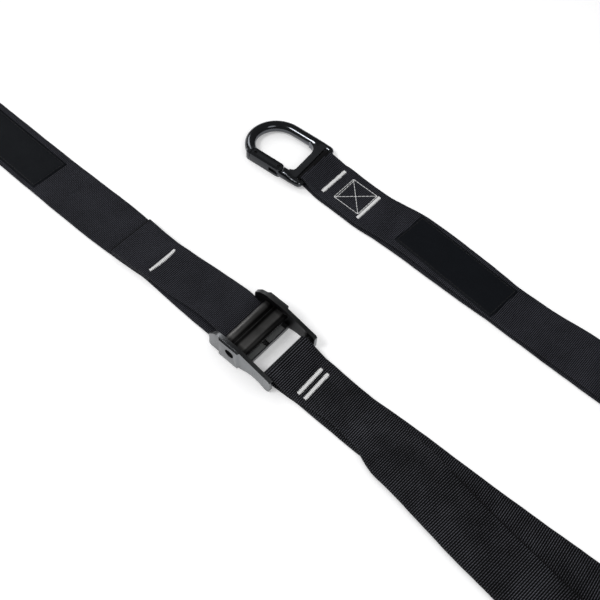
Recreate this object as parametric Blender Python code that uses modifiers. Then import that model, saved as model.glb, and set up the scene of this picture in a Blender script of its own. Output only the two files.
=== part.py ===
"""Suspension trainer laid out on a floor: anchor carabiner, two webbing legs, two cam buckles,
two looped handles. Metres, +Z up, floor at zero, straps run along X."""
import math

import bmesh
import bpy
from mathutils import Matrix, Vector

MM = 0.001
OBJECT_NAME = "suspension_trainer"

# Webbing
WEB_WIDTH = 37.5 * MM
WEB_THICK = 1.6 * MM
WEB_GAP = 0.35 * MM
SAME_PLACE = 0.1 * MM
WELD_DISTANCE = 0.01 * MM
LAYER_LOW_Z = 0.9 * MM
LAYER_HIGH_Z = 2.85 * MM
LAYER_TOP_Z = 4.8 * MM
STITCH_THICK = 0.4 * MM
STITCH_LIFT = 0.3 * MM
LABEL_THICK = 0.5 * MM
BUTT_GAP = 0.3 * MM
ARC_STEPS = 10
ROW_STEP = 12 * MM
RUN_STEP = 20 * MM
HEM_STEP = 10 * MM
TAB_STEP = 8 * MM
FOLD_STEP = 40 * MM
SLOPE_SAMPLE = 1 * MM

# Carabiner, lying flat; the end bar holds the folded neck of the webbing
BAR_X = -66.3 * MM
BAR_Y = 127.0 * MM
BAR_Z = 4.0 * MM
CARABINER_TURN = math.radians(5.0)
ROD_RADIUS = 4.0 * MM
ROD_PITCH_HALF = 18.3 * MM
RING_REACH_U = 53.2 * MM
WIDE_BEND = 20.6 * MM
END_BAR_RADIUS = 1.9 * MM
END_BAR_HALF = 19.7 * MM
SIDE_RADIUS = 2.6 * MM
RAIL_END_U = 11.5 * MM
RAIL_EASE = 2.5 * MM
SLOT_SIDE_U = 5.5 * MM
SLOT_SIDE_EASE = 2.2 * MM
CORNER_U = 1.2 * MM
CORNER_V = 18.7 * MM
CORNER_TRIM = 0.4 * MM
CORNER_RUN = 1.3 * MM
RING_FLOOR_GAP = 0.05 * MM
DIVIDER_U = 7.05 * MM
DIVIDER_THICK = 4.9 * MM
DIVIDER_HEIGHT = 5.4 * MM
DIVIDER_FILLET_FAR = 7.0 * MM
DIVIDER_FILLET_NEAR = 3.2 * MM
FILLET_STEPS = 6
HINGE_U = 19.7 * MM
HINGE_CLEAR = 4.2 * MM
NOSE_REACH = 23.5 * MM
NOSE_GAP = 0.45 * MM
NOSE_CUT_DEPTH = 10.0 * MM
NOSE_BOSS_U = 43.9 * MM
NOSE_BOSS_V = 18.0 * MM
NOSE_BOSS_RADIUS = 3.9 * MM
GATE_HALF = 3.6 * MM
GATE_EDGE = 2.2 * MM
TONGUE_THICK = 2.4 * MM
TONGUE_HALF = 2.6 * MM
TONGUE_SLOT = 3.2 * MM
TONGUE_SLOT_REACH = 6.2 * MM
TONGUE_ROOT = 3.0 * MM
PIN_RADIUS = 1.0 * MM
PIN_CLEAR = 0.3 * MM
CATCH_PIN_INSET = 0.9 * MM
CATCH_REACH = 20.5 * MM
GATE_BORE_RADIUS = 1.6 * MM
GATE_BORE_END = 16.5 * MM
GATE_BORE_OVER = 1.0 * MM
GATE_SPRING_RADIUS = 1.0 * MM
GATE_SPRING_WIRE = 0.22 * MM
GATE_SPRING_START = 7.2 * MM
GATE_SPRING_PITCH = 1.2 * MM
GATE_SPRING_TURNS = 7
RING_STEPS = 28

# Neck of the webbing: two layers, sewn behind the end bar
NECK_LOOP_WIDTH = 33.0 * MM
NECK_LOOP_REACH = 11.0 * MM
NECK_JOIN_X = -53.0 * MM
NECK_BOX_Y = 125.6 * MM
NECK_FLAT_X = 16.0 * MM
NECK_END_X = 185.0 * MM
LEG_B_Y = 129.0 * MM
LEG_A_OFFSET_Y = 1.0 * MM
TACK_LENGTH = 24.0 * MM
TACK_WIDTH = 3.2 * MM
NECK_TACK_X = -49.5 * MM
NECK_TACK_2_X = -16.5 * MM
BOX_X_START = -41.0 * MM
BOX_X_END = -20.0 * MM
BOX_HALF = 11.7 * MM
BOX_OFFSET_Y = 1.6 * MM
NECK_TACK_OFFSET_Y = 1.8 * MM
NECK_TACK_2_OFFSET_Y = 1.4 * MM
THREAD_WIDTH = 1.2 * MM
LABEL_LENGTH = 82.0 * MM
LABEL_WIDTH = 29.4 * MM
NECK_LABEL_X = 56.0 * MM
NECK_LABEL_Y = 130.3 * MM
NECK_LABEL_TURN = math.radians(-2.5)

# Leg A: it leaves the neck, turns onto its edge and sweeps round to the first buckle
SWEEP_EAST_X = 292.0 * MM
SWEEP_EAST_Y = 228.0 * MM
SWEEP_NORTH_X = -30.0 * MM
SWEEP_NORTH_Y = 530.0 * MM
SWEEP_WEST_X = -420.0 * MM
SWEEP_WEST_Y = 110.0 * MM
SWEEP_FILLET = 52.0 * MM
SWEEP_FILLET_WIDE = 75.0 * MM
SWEEP_END_X = -305.0 * MM
TWIST_LENGTH = 78.0 * MM
TWIST_START = 2.0 * MM
SWEEP_DROP_START = 95.0 * MM
SWEEP_DROP_LENGTH = 120.0 * MM
SWEEP_STEP = 16.0 * MM
SWEEP_BASE_HIGH = LAYER_HIGH_Z - WEB_THICK / 2
SWEEP_BASE_LOW = LAYER_LOW_Z - WEB_THICK / 2
LEG_A_Y = -3.0 * MM
LEG_A_FAR_Y = -6.0 * MM
LEG_A_DRIFT_X = -190.0 * MM
LEG_LABEL_X = -236.0 * MM

# Leg B: the same length, put away in flat folds under a keeper band
HANK_START_X = 325.0 * MM
HANK_BASE_Z = 3.4 * MM
HANK_PITCH = 2.4 * MM
HANK_RUNS = 9
HANK_DOWN = 62.0 * MM
HANK_STEP = 25.0 * MM
KEEPER_WIDTH = 25.0 * MM
KEEPER_THICK = 1.8 * MM
KEEPER_CORNER = 1.2 * MM
BUCKLE_LEAD = 232.0 * MM
LEG_B_LABEL_X = -176.0 * MM

# Cam buckle, in its own frame: X along the strap, Y across, Z up from the floor
BUCKLE_A_Y = -3.0 * MM
PLATE_INNER_HALF = 19.5 * MM
PLATE_THICK = 2.8 * MM
BLOCK_PROUD = 1.5 * MM
FRAME_LEFT = -23.5 * MM
FRAME_RIGHT = 27.0 * MM
FRAME_TOP = 18.4 * MM
FRAME_FRONT_TOP = 12.4 * MM
FRAME_REAR_TOP = 12.7 * MM
FRAME_CREST_LEFT = -15.0 * MM
FRAME_CREST_RIGHT = -0.5 * MM
FRAME_CORNER = 1.4 * MM
FRAME_EDGE = 0.35 * MM
ARCH_LEFT = 3.5 * MM
ARCH_FOOT = 23.6 * MM
ARCH_TOP = 3.2 * MM
BLOCK_LEFT = -14.8 * MM
BLOCK_RIGHT = 1.2 * MM
BLOCK_BOTTOM = 0.6 * MM
BLOCK_TOP = 17.9 * MM
BLOCK_RAMP = 1.0 * MM
BLOCK_ROOT = 0.4 * MM
SOCKET_RADIUS = 3.4 * MM
SOCKET_DEPTH = 1.2 * MM
AXLE_X = -5.0 * MM
AXLE_Z = 11.2 * MM
AXLE_RADIUS = 1.5 * MM
BASE_BAR_X = -7.0 * MM
BASE_BAR_Z = 4.2 * MM
BASE_BAR_RADIUS = 1.85 * MM
MID_BAR_X = 4.0 * MM
MID_BAR_LENGTH = 4.6 * MM
MID_BAR_LOW = 1.2 * MM
MID_BAR_HIGH = 4.6 * MM
PAD_LENGTH = 3.4 * MM
PAD_WIDTH = 14.2 * MM
PAD_HEIGHT = 0.7 * MM
PAD_OFFSET = 8.8 * MM
END_BAR_X = 22.0 * MM
END_BAR_Z = 5.8 * MM
END_BAR_R = 2.6 * MM
LEVER_HALF = 18.8 * MM
LEVER_ROUND = 0.3 * MM
LIP_FLAT = 0.7 * MM
LIP_DROP = 0.2 * MM
CAM_RADIUS = 2.9 * MM
ROLL_X = -11.4 * MM
ROLL_Z = 11.7 * MM
ROLL_RADIUS = 3.3 * MM
GROOVE_LEFT = -8.4 * MM
GROOVE_RIGHT = -6.9 * MM
GROOVE_Z = 13.5 * MM
LIP_LEFT = -5.6 * MM
LIP_RIGHT = 4.0 * MM
LIP_Z = 15.9 * MM
DISH_Z = 14.9 * MM
TIP_X = 5.2 * MM
TIP_Z = 14.6 * MM
TIP_LOW_Z = 13.3 * MM
UNDER_X = -1.4 * MM
UNDER_Z = 12.0 * MM
TOOTH_PITCH = 1.0 * MM
TOOTH_DEPTH = 0.45 * MM
TOOTH_START = 1.2 * MM
TOOTH_FLOOR_Z = 8.45 * MM
LEVER_BORE_CLEAR = 0.3 * MM
POCKET_HALF = 4.4 * MM
POCKET_RADIUS = 2.8 * MM
SPRING_WIRE = 0.3 * MM
SPRING_RADIUS = 2.15 * MM
SPRING_TURNS = 6
SPRING_PITCH = 1.15 * MM
SPRING_LEG = 3.4 * MM
SPRING_FOOT_X = 2.4 * MM

# Tail of the main webbing: back over the base bar, hem folded under and tacked
TAIL_LEFT = -116.0 * MM
TAIL_HEM_END = -83.0 * MM
TAIL_SETTLE_X = -60.0 * MM
TAIL_RISE_X = -66.0 * MM
TAIL_RISE_Z = 3.0 * MM
TAIL_TACK_X = -88.5 * MM
TAIL_Y = 2.4 * MM
TAIL_TACK_LENGTH = 23.0 * MM

# Handle strap: one length of webbing round the end bar, legs parted to the two ends of the grip
HANDLE_REACH = 560.0 * MM
HANDLE_Y = -9.0 * MM
HANDLE_WEB_WIDTH = 37.0 * MM
HANDLE_JOIN_X = 38.0 * MM
HANDLE_TACK_X = 41.5 * MM
HANDLE_TACK_STEP = 5.2 * MM
PART_X = 92.0 * MM
PART_EDGE_X = 240.0 * MM
PART_TOP_Y = -16.0 * MM
PART_LOW_Y = 6.5 * MM
PART_END_X = 330.0 * MM
LEG_STEP = 18.0 * MM
FLOOR_GAP = 0.1 * MM
LOOP_TACK_BACK = 38.0 * MM
LOOP_TAB = 52.0 * MM
LOOP_JOIN = 30.0 * MM
GRIP_RADIUS = 16.5 * MM
TUBE_RADIUS = 11.0 * MM
TUBE_BORE = 8.5 * MM
TUBE_HALF = 103.0 * MM
CAP_ROOM = 20.0 * MM
GRIP_ROOM = 2.0 * MM
LOOP_OFFSET = TUBE_HALF - CAP_ROOM
GRIP_HALF = LOOP_OFFSET - HANDLE_WEB_WIDTH / 2 - GRIP_ROOM
CAP_FLANGE_RADIUS = 13.5 * MM
CAP_FLANGE = 3.6 * MM
CAP_PLUG_RADIUS = 8.2 * MM
CAP_PLUG_LENGTH = 9.0 * MM
CAP_EDGE = 0.9 * MM
GRIP_EDGE = 1.6 * MM
TURN_STEPS = 36


def clear_scene():
    for item in list(bpy.data.objects):
        bpy.data.objects.remove(item, do_unlink=True)


def material(name, colour, rough, metal=0.0):
    mat = bpy.data.materials.new(name)
    mat.use_nodes = True
    bsdf = mat.node_tree.nodes["Principled BSDF"]
    bsdf.inputs["Base Color"].default_value = (*colour, 1.0)
    bsdf.inputs["Roughness"].default_value = rough
    bsdf.inputs["Metallic"].default_value = metal
    mat.diffuse_color = (*colour, 1.0)
    return mat


clear_scene()
PARTS = bpy.data.collections.new(OBJECT_NAME)
CUTTERS = bpy.data.collections.new("cutters")
bpy.context.scene.collection.children.link(PARTS)
bpy.context.scene.collection.children.link(CUTTERS)
ROOT = bpy.data.objects.new(OBJECT_NAME, None)
PARTS.objects.link(ROOT)

BLACK_GLOSS = ("gloss_black", (0.012, 0.012, 0.013), 0.18, 0.6)
PIN_STEEL = ("pin_steel", (0.45, 0.45, 0.46), 0.3, 1.0)
SPRING_STEEL = ("spring_steel", (0.5, 0.5, 0.5), 0.35, 1.0)
WEB_BLACK = ("webbing", (0.014, 0.014, 0.015), 0.8, 0.0)
THREAD_WHITE = ("thread", (0.75, 0.75, 0.74), 0.7, 0.0)
LABEL_GREY = ("label", (0.03, 0.03, 0.032), 0.5, 0.0)
GUNMETAL = ("gunmetal", (0.07, 0.07, 0.075), 0.35, 0.9)
FOAM = ("foam", (0.02, 0.02, 0.021), 0.9, 0.0)
TUBE_GREY = ("tube", (0.1, 0.1, 0.1), 0.5, 0.0)
CAP_BLACK = ("cap", (0.02, 0.02, 0.02), 0.4, 0.0)
KEEPER_BLACK = ("keeper", (0.02, 0.02, 0.022), 0.7, 0.0)


def mesh_object(name, mesh, look, origin=(0.0, 0.0, 0.0)):
    """A part under the root, its origin moved to the named point, with a material of its own."""
    obj = bpy.data.objects.new(name, mesh)
    PARTS.objects.link(obj)
    obj.parent = ROOT
    mesh.transform(Matrix.Translation(-Vector(origin)))
    obj.location = origin
    mesh.materials.clear()
    mesh.materials.append(material(f"{name}_{look[0]}", look[1], look[2], look[3]))
    return obj


def tidy(bm, name):
    bmesh.ops.remove_doubles(bm, verts=bm.verts, dist=WELD_DISTANCE)
    bmesh.ops.recalc_face_normals(bm, faces=bm.faces)
    mesh = bpy.data.meshes.new(name)
    bm.to_mesh(mesh)
    bm.free()
    return mesh


def box_mesh(name, centre, size, turn=0.0):
    bm = bmesh.new()
    bmesh.ops.create_cube(bm, size=1.0)
    bmesh.ops.scale(bm, vec=size, verts=bm.verts)
    bmesh.ops.rotate(bm, matrix=Matrix.Rotation(turn, 3, "Z"), verts=bm.verts)
    bmesh.ops.translate(bm, vec=centre, verts=bm.verts)
    return tidy(bm, name)


def rod_mesh(name, centre, axis, length, radius, sides=32):
    bm = bmesh.new()
    bmesh.ops.create_cone(bm, cap_ends=True, segments=sides, radius1=radius, radius2=radius,
                          depth=length)
    if axis == "Y":
        bmesh.ops.rotate(bm, matrix=Matrix.Rotation(math.pi / 2, 3, "X"), verts=bm.verts)
    if axis == "X":
        bmesh.ops.rotate(bm, matrix=Matrix.Rotation(math.pi / 2, 3, "Y"), verts=bm.verts)
    bmesh.ops.translate(bm, vec=centre, verts=bm.verts)
    return tidy(bm, name)


def outline_mesh(name, loops, half, stand):
    """A flat outline, thickened both ways by half; stand puts its second axis up (Y across)."""
    curve = bpy.data.curves.new(name, "CURVE")
    curve.dimensions = "2D"
    curve.fill_mode = "BOTH"
    curve.extrude = half
    for loop in loops:
        spline = curve.splines.new("POLY")
        spline.points.add(len(loop) - 1)
        for point, place in zip(spline.points, loop):
            point.co = (place[0], place[1], 0.0, 1.0)
        spline.use_cyclic_u = True
    mesh = curve_to_mesh(name, curve)
    if stand:
        mesh.transform(Matrix.Rotation(math.pi / 2, 4, "X"))
    return mesh


def curve_to_mesh(name, curve):
    holder = bpy.data.objects.new(f"{name}_curve", curve)
    PARTS.objects.link(holder)
    depsgraph = bpy.context.evaluated_depsgraph_get()
    made = bpy.data.meshes.new_from_object(holder.evaluated_get(depsgraph))
    bpy.data.objects.remove(holder, do_unlink=True)
    bpy.data.curves.remove(curve)
    bm = bmesh.new()
    bm.from_mesh(made)
    return tidy(bm, name)


def wire_mesh(name, points, radius, shares=None, ring=12, closed=False):
    """A round rod along points; shares thin it from point to point."""
    curve = bpy.data.curves.new(name, "CURVE")
    curve.dimensions = "3D"
    curve.bevel_depth = radius
    curve.bevel_resolution = (ring - 4) // 2
    curve.use_fill_caps = not closed
    spline = curve.splines.new("POLY")
    spline.points.add(len(points) - 1)
    for index, place in enumerate(points):
        spline.points[index].co = (*place, 1.0)
        spline.points[index].radius = shares[index] if shares else 1.0
    spline.use_cyclic_u = closed
    return curve_to_mesh(name, curve)


def cut(obj, mesh, operation="DIFFERENCE"):
    cutter = bpy.data.objects.new(f"{obj.name}_cutter", mesh)
    CUTTERS.objects.link(cutter)
    cutter.hide_render = True
    cutter.display_type = "WIRE"
    cutter.parent = ROOT
    step = obj.modifiers.new(f"cut_{len(obj.modifiers)}", "BOOLEAN")
    step.operation = operation
    step.solver = "EXACT"
    step.object = cutter
    return cutter


def soften(obj, width, segments=1):
    step = obj.modifiers.new("edges", "BEVEL")
    step.width = width
    step.segments = segments
    step.limit_method = "ANGLE"
    step.angle_limit = math.radians(40.0)


def smooth(value):
    value = min(1.0, max(0.0, value))
    return value * value * (3.0 - 2.0 * value)


def between(value, low, high):
    return smooth((value - low) / (high - low))


def mix(first, last, share):
    return first + (last - first) * share


def ribbon_mesh(name, stations, thick=WEB_THICK):
    """A webbing band: each station is its centre, its across direction and its width."""
    bm = bmesh.new()
    rings = []
    count = len(stations)
    for index, (centre, across, width) in enumerate(stations):
        before = stations[max(0, index - 1)][0]
        after = stations[min(count - 1, index + 1)][0]
        along = (after - before).normalized()
        side = (across - along * across.dot(along)).normalized()
        lift = along.cross(side).normalized()
        ring = []
        for across_sign, lift_sign in ((-1, -1), (1, -1), (1, 1), (-1, 1)):
            place = centre + side * (across_sign * width / 2) + lift * (lift_sign * thick / 2)
            ring.append(bm.verts.new(place))
        rings.append(ring)
    for first, second in zip(rings, rings[1:]):
        for corner in range(4):
            following = (corner + 1) % 4
            bm.faces.new((first[corner], first[following], second[following], second[corner]))
    bm.faces.new(rings[0])
    bm.faces.new(reversed(rings[-1]))
    return tidy(bm, name)


def arc(centre, radius, start, end, steps=ARC_STEPS):
    """Points of an arc in a plane, from one angle to another, both in degrees."""
    points = []
    for step in range(steps + 1):
        angle = math.radians(mix(start, end, step / steps))
        points.append((centre[0] + radius * math.cos(angle), centre[1] + radius * math.sin(angle)))
    return points


def tangent_angle(point, centre, radius, side):
    """The angle, in degrees, at which a line from the point meets a circle on one side."""
    gap_x = point[0] - centre[0]
    gap_z = point[1] - centre[1]
    opening = math.acos(radius / math.hypot(gap_x, gap_z))
    return math.degrees(math.atan2(gap_z, gap_x) + side * opening)


def run(start, end, step=ROW_STEP):
    """Points of a straight run, close enough together to be bent gently."""
    count = max(1, math.ceil(math.hypot(end[0] - start[0], end[1] - start[1]) / step))
    return [(mix(start[0], end[0], n / count), mix(start[1], end[1], n / count))
            for n in range(count + 1)]


def ease(start, end, steps=8):
    """Points of a soft step in height between two places along X."""
    return [(mix(start[0], end[0], n / steps), mix(start[1], end[1], smooth(n / steps)))
            for n in range(steps + 1)]


def joined(*pieces):
    points = []
    for piece in pieces:
        for point in piece:
            last = points[-1] if points else None
            if last and math.hypot(point[0] - last[0], point[1] - last[1]) < SAME_PLACE:
                continue
            points.append(point)
    return points


def length_of(points):
    return sum((Vector(b) - Vector(a)).length for a, b in zip(points, points[1:]))


# Carabiner frame: U runs from the end bar to the far end of the ring, V across it
BAR_CENTRE = Vector((BAR_X, BAR_Y, BAR_Z))
U_AXIS = Vector((-math.cos(CARABINER_TURN), -math.sin(CARABINER_TURN), 0.0))
V_AXIS = Vector((-math.sin(CARABINER_TURN), math.cos(CARABINER_TURN), 0.0))
CARABINER_Z = ROD_RADIUS + RING_FLOOR_GAP
HINGE_PLACE = BAR_CENTRE + U_AXIS * HINGE_U - V_AXIS * ROD_PITCH_HALF
HINGE_PLACE.z = CARABINER_Z
RING_TURN = Matrix.Rotation(CARABINER_TURN, 4, "Z")
TO_WORLD = Matrix.Translation((BAR_X, BAR_Y, CARABINER_Z)) @ RING_TURN


def ring_frame(mesh):
    """Carabiner pieces are drawn with U along minus X, V along Y and the bar at the middle."""
    mesh.transform(TO_WORLD)
    return mesh


def ring_bends():
    """Centre line of the ring's far end: a wide bend off the plain rail, a tighter one to the gate."""
    tight = 2 * ROD_PITCH_HALF - WIDE_BEND
    middle_v = ROD_PITCH_HALF - WIDE_BEND
    points = arc((WIDE_BEND - RING_REACH_U, middle_v), WIDE_BEND, 90.0, 180.0, RING_STEPS // 2)
    return points + arc((tight - RING_REACH_U, middle_v), tight, 180.0, 262.0, RING_STEPS // 2)[1:]


def carabiner():
    path = [(-HINGE_U + HINGE_CLEAR / 2, -ROD_PITCH_HALF),
            (-RAIL_END_U - RAIL_EASE, -ROD_PITCH_HALF),
            (-RAIL_END_U, -ROD_PITCH_HALF)]
    shares = [1.0, 1.0, 0.98]
    thin = SIDE_RADIUS / ROD_RADIUS
    bar_share = END_BAR_RADIUS / ROD_RADIUS
    half = [(-SLOT_SIDE_U - SLOT_SIDE_EASE, END_BAR_HALF - CORNER_TRIM), (-SLOT_SIDE_U, END_BAR_HALF),
            (-SLOT_SIDE_U / 2, END_BAR_HALF), (-CORNER_U, END_BAR_HALF - CORNER_TRIM),
            (-CORNER_U / 3, CORNER_V), (0.0, CORNER_V - CORNER_RUN)]
    half_shares = [mix(thin, 1.0, 0.4), thin, thin, thin, mix(thin, bar_share, 0.5), bar_share]
    for (u, v), share in zip(half, half_shares):
        path.append((u, -v))
        shares.append(share)
    for step in range(1, 8):
        path.append((0.0, mix(-CORNER_V + CORNER_RUN, CORNER_V - CORNER_RUN, step / 8)))
        shares.append(bar_share)
    for (u, v), share in reversed(list(zip(half, half_shares))):
        path.append((u, v))
        shares.append(share)
    path.append((-RAIL_END_U, ROD_PITCH_HALF))
    shares.append(0.98)
    path.append((-RAIL_END_U - RAIL_EASE, ROD_PITCH_HALF))
    shares.append(1.0)
    for x, y in ring_bends():
        path.append((x, y))
        shares.append(1.0)
    spine = [(x, y, 0.0) for x, y in path]
    body = mesh_object("carabiner_body", wire_mesh("carabiner_body", spine, ROD_RADIUS, shares, 20),
                       BLACK_GLOSS)
    cut(body, divider_mesh(), "UNION")
    hinge = (-HINGE_U, -ROD_PITCH_HALF, 0.0)
    cut(body, rod_mesh("hinge_clear", hinge, "Z", 4 * ROD_RADIUS, HINGE_CLEAR, 40))
    tongue_length = HINGE_CLEAR + TONGUE_ROOT
    tongue = box_mesh("tongue", (-HINGE_U + tongue_length / 2, -ROD_PITCH_HALF, 0.0),
                      (tongue_length, 2 * TONGUE_HALF, TONGUE_THICK))
    cut(body, tongue, "UNION")
    cut(body, rod_mesh("tongue_tip", hinge, "Z", TONGUE_THICK, TONGUE_HALF, 32), "UNION")
    cut(body, rod_mesh("pin_hole", hinge, "Z", 4 * ROD_RADIUS, PIN_RADIUS + PIN_CLEAR, 24))
    boss = (-NOSE_BOSS_U, -NOSE_BOSS_V, 0.0)
    cut(body, rod_mesh("nose_boss", boss, "Z", 2 * GATE_HALF, NOSE_BOSS_RADIUS, 40), "UNION")
    reach = NOSE_REACH + NOSE_GAP
    sector = arc(hinge, reach, 150.0, 200.0, 16)
    sector += arc(hinge, reach - NOSE_CUT_DEPTH, 200.0, 150.0, 6)
    cut(body, outline_mesh("nose_cut", [sector], 2 * ROD_RADIUS, False))
    place_cutters(body)
    ring_frame(body.data)
    move_origin(body, BAR_CENTRE)
    gate(hinge)


def divider_mesh():
    """The web across the ring, with a wide fillet to the plain rail and a small one by the gate."""
    open_side = -DIVIDER_U - DIVIDER_THICK / 2
    shut_side = -DIVIDER_U + DIVIDER_THICK / 2
    half = ROD_PITCH_HALF
    inner = ROD_PITCH_HALF - ROD_RADIUS
    far = (open_side - DIVIDER_FILLET_FAR, inner - DIVIDER_FILLET_FAR)
    near = (open_side - DIVIDER_FILLET_NEAR, -inner + DIVIDER_FILLET_NEAR)
    outline = [(shut_side, -half), (shut_side, half), (far[0], half)]
    outline += arc(far, DIVIDER_FILLET_FAR, 90.0, 0.0, FILLET_STEPS)
    outline += arc(near, DIVIDER_FILLET_NEAR, 0.0, -90.0, FILLET_STEPS)
    outline += [(near[0], -half)]
    return outline_mesh("divider", [outline], DIVIDER_HEIGHT / 2, False)


def place_cutters(obj):
    """Cutters are drawn beside the part in its own plan; both go to the world together."""
    for step in obj.modifiers:
        if step.type == "BOOLEAN":
            step.object.data.transform(TO_WORLD)


def move_origin(obj, place):
    obj.data.transform(Matrix.Translation(-(Vector(place) - obj.location)))
    obj.location = place


def gate(hinge):
    """A straight square-section arm with rounded edges, its tip and heel round the hinge."""
    spread = math.degrees(math.asin(GATE_HALF / NOSE_REACH))
    loop = arc(hinge, GATE_HALF, -90.0, 90.0, 16)
    loop += arc(hinge, NOSE_REACH, 180.0 - spread, 180.0 + spread, 8)
    arm = mesh_object("gate", outline_mesh("gate", [loop], GATE_HALF, False), BLACK_GLOSS)
    soften(arm, GATE_EDGE, 4)
    slot_start = -HINGE_U - TONGUE_SLOT_REACH
    slot_end = -HINGE_U + 2 * GATE_HALF
    cut(arm, box_mesh("gate_slot", ((slot_start + slot_end) / 2, -ROD_PITCH_HALF, 0.0),
                      (slot_end - slot_start, 4 * GATE_HALF, TONGUE_SLOT)))
    cut(arm, rod_mesh("gate_pin_hole", hinge, "Z", 4 * ROD_RADIUS, PIN_RADIUS + PIN_CLEAR, 24))
    bore_middle = -HINGE_U - (TONGUE_SLOT_REACH + GATE_BORE_END) / 2
    bore_length = GATE_BORE_END - TONGUE_SLOT_REACH + GATE_BORE_OVER
    cut(arm, rod_mesh("gate_bore", (bore_middle, -ROD_PITCH_HALF, 0.0), "X", bore_length,
                      GATE_BORE_RADIUS, 20))
    catch = (hinge[0] - CATCH_REACH, hinge[1], 0.0)
    cut(arm, rod_mesh("catch_hole", catch, "Z", 4 * ROD_RADIUS, PIN_RADIUS + PIN_CLEAR, 24))
    place_cutters(arm)
    ring_frame(arm.data)
    move_origin(arm, HINGE_PLACE)
    pin_length = 2 * GATE_HALF - PIN_CLEAR
    hinge_pin = rod_mesh("gate_hinge_pin", hinge, "Z", pin_length, PIN_RADIUS, 24)
    mesh_object("gate_hinge_pin", ring_frame(hinge_pin), PIN_STEEL, HINGE_PLACE)
    catch_length = 2 * GATE_HALF - CATCH_PIN_INSET
    catch_pin = rod_mesh("gate_catch_pin", catch, "Z", catch_length, PIN_RADIUS, 24)
    mesh_object("gate_catch_pin", ring_frame(catch_pin), PIN_STEEL, HINGE_PLACE)
    coil = []
    for step in range(GATE_SPRING_TURNS * 8 + 1):
        angle = 2 * math.pi * step / 8
        coil.append((hinge[0] - GATE_SPRING_START - GATE_SPRING_PITCH * step / 8,
                     hinge[1] + GATE_SPRING_RADIUS * math.cos(angle),
                     GATE_SPRING_RADIUS * math.sin(angle)))
    spring = wire_mesh("gate_spring", coil, GATE_SPRING_WIRE, None, 6)
    mesh_object("gate_spring", ring_frame(spring), SPRING_STEEL, HINGE_PLACE)


def neck():
    """The webbing folded round the end bar, both layers running away along X."""
    radius = END_BAR_RADIUS + WEB_GAP + WEB_THICK / 2
    centre = (0.0, BAR_Z)
    reach = NECK_LOOP_REACH
    top = tangent_angle((NECK_JOIN_X - BAR_X, LAYER_HIGH_Z), centre, radius, 1)
    low = tangent_angle((NECK_JOIN_X - BAR_X, LAYER_LOW_Z), centre, radius, -1)
    profile = joined([(NECK_END_X - BAR_X, LAYER_HIGH_Z)],
                     run((NECK_END_X - BAR_X, LAYER_HIGH_Z), (NECK_JOIN_X - BAR_X, LAYER_HIGH_Z)),
                     arc(centre, radius, top, 360.0 + low, 20),
                     run((NECK_JOIN_X - BAR_X, LAYER_LOW_Z), (NECK_END_X - BAR_X, LAYER_LOW_Z)))
    stations = []
    halfway = len(profile) // 2
    across_bar = V_AXIS
    across_leg = Vector((0.0, 1.0, 0.0))
    along_bar = -U_AXIS
    for index, (reach_x, height) in enumerate(profile):
        x = BAR_X + reach_x
        share = between(reach_x, 0.0, reach)
        upper = index < halfway
        far_y = LEG_B_Y + (LEG_A_OFFSET_Y if upper else 0.0)
        y_bar = BAR_Y + along_bar.y * reach_x
        y_leg = mix(NECK_BOX_Y, far_y, between(x, BOX_X_END, NECK_FLAT_X))
        y = mix(y_bar, y_leg, between(reach_x, 0.0, 2 * reach))
        width = mix(NECK_LOOP_WIDTH, WEB_WIDTH, between(x, BAR_X + reach, NECK_FLAT_X))
        across = across_bar.lerp(across_leg, share)
        stations.append((Vector((x, y, height)), across, width))
    mesh_object("webbing_neck", ribbon_mesh("webbing_neck", stations), WEB_BLACK)
    top_z = LAYER_HIGH_Z + WEB_THICK / 2 + STITCH_LIFT + STITCH_THICK / 2
    place = (NECK_TACK_X, NECK_BOX_Y + NECK_TACK_OFFSET_Y, top_z)
    tack = box_mesh("tack", place, (TACK_WIDTH, TACK_LENGTH, STITCH_THICK))
    mesh_object("neck_bar_tack", tack, THREAD_WHITE)
    place = (NECK_TACK_2_X, NECK_BOX_Y + NECK_TACK_2_OFFSET_Y, top_z)
    tack = box_mesh("tack", place, (TACK_WIDTH, TACK_LENGTH, STITCH_THICK))
    mesh_object("neck_bar_tack_end", tack, THREAD_WHITE)
    box_x(top_z)
    label = box_mesh("label", (NECK_LABEL_X, NECK_LABEL_Y, top_z + (LABEL_THICK - STITCH_THICK) / 2),
                     (LABEL_LENGTH, LABEL_WIDTH, LABEL_THICK), NECK_LABEL_TURN)
    mesh_object("neck_label", label, LABEL_GREY)


def box_x(height):
    """A stitched square with its diagonals, as one thin solid."""
    middle_x = (BOX_X_START + BOX_X_END) / 2
    middle_y = NECK_BOX_Y + BOX_OFFSET_Y
    half_x = (BOX_X_END - BOX_X_START) / 2
    inner_x = half_x - THREAD_WIDTH
    inner_y = BOX_HALF - THREAD_WIDTH
    outer = [(middle_x + sx * half_x, middle_y + sy * BOX_HALF)
             for sx, sy in ((-1, -1), (1, -1), (1, 1), (-1, 1))]
    slack = THREAD_WIDTH * 0.75
    loops = [outer]
    for sign in (-1, 1):
        side = [(middle_x + sign * inner_x, middle_y - inner_y + slack),
                (middle_x + sign * inner_x, middle_y + inner_y - slack),
                (middle_x + sign * slack, middle_y)]
        loops.append(side)
        end = [(middle_x - inner_x + slack, middle_y + sign * inner_y),
               (middle_x + inner_x - slack, middle_y + sign * inner_y),
               (middle_x, middle_y + sign * slack)]
        loops.append(end)
    mesh = outline_mesh("neck_box_stitch", loops, STITCH_THICK / 2, False)
    mesh.transform(Matrix.Translation((0.0, 0.0, height)))
    mesh_object("neck_box_stitch", mesh, THREAD_WHITE)


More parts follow.
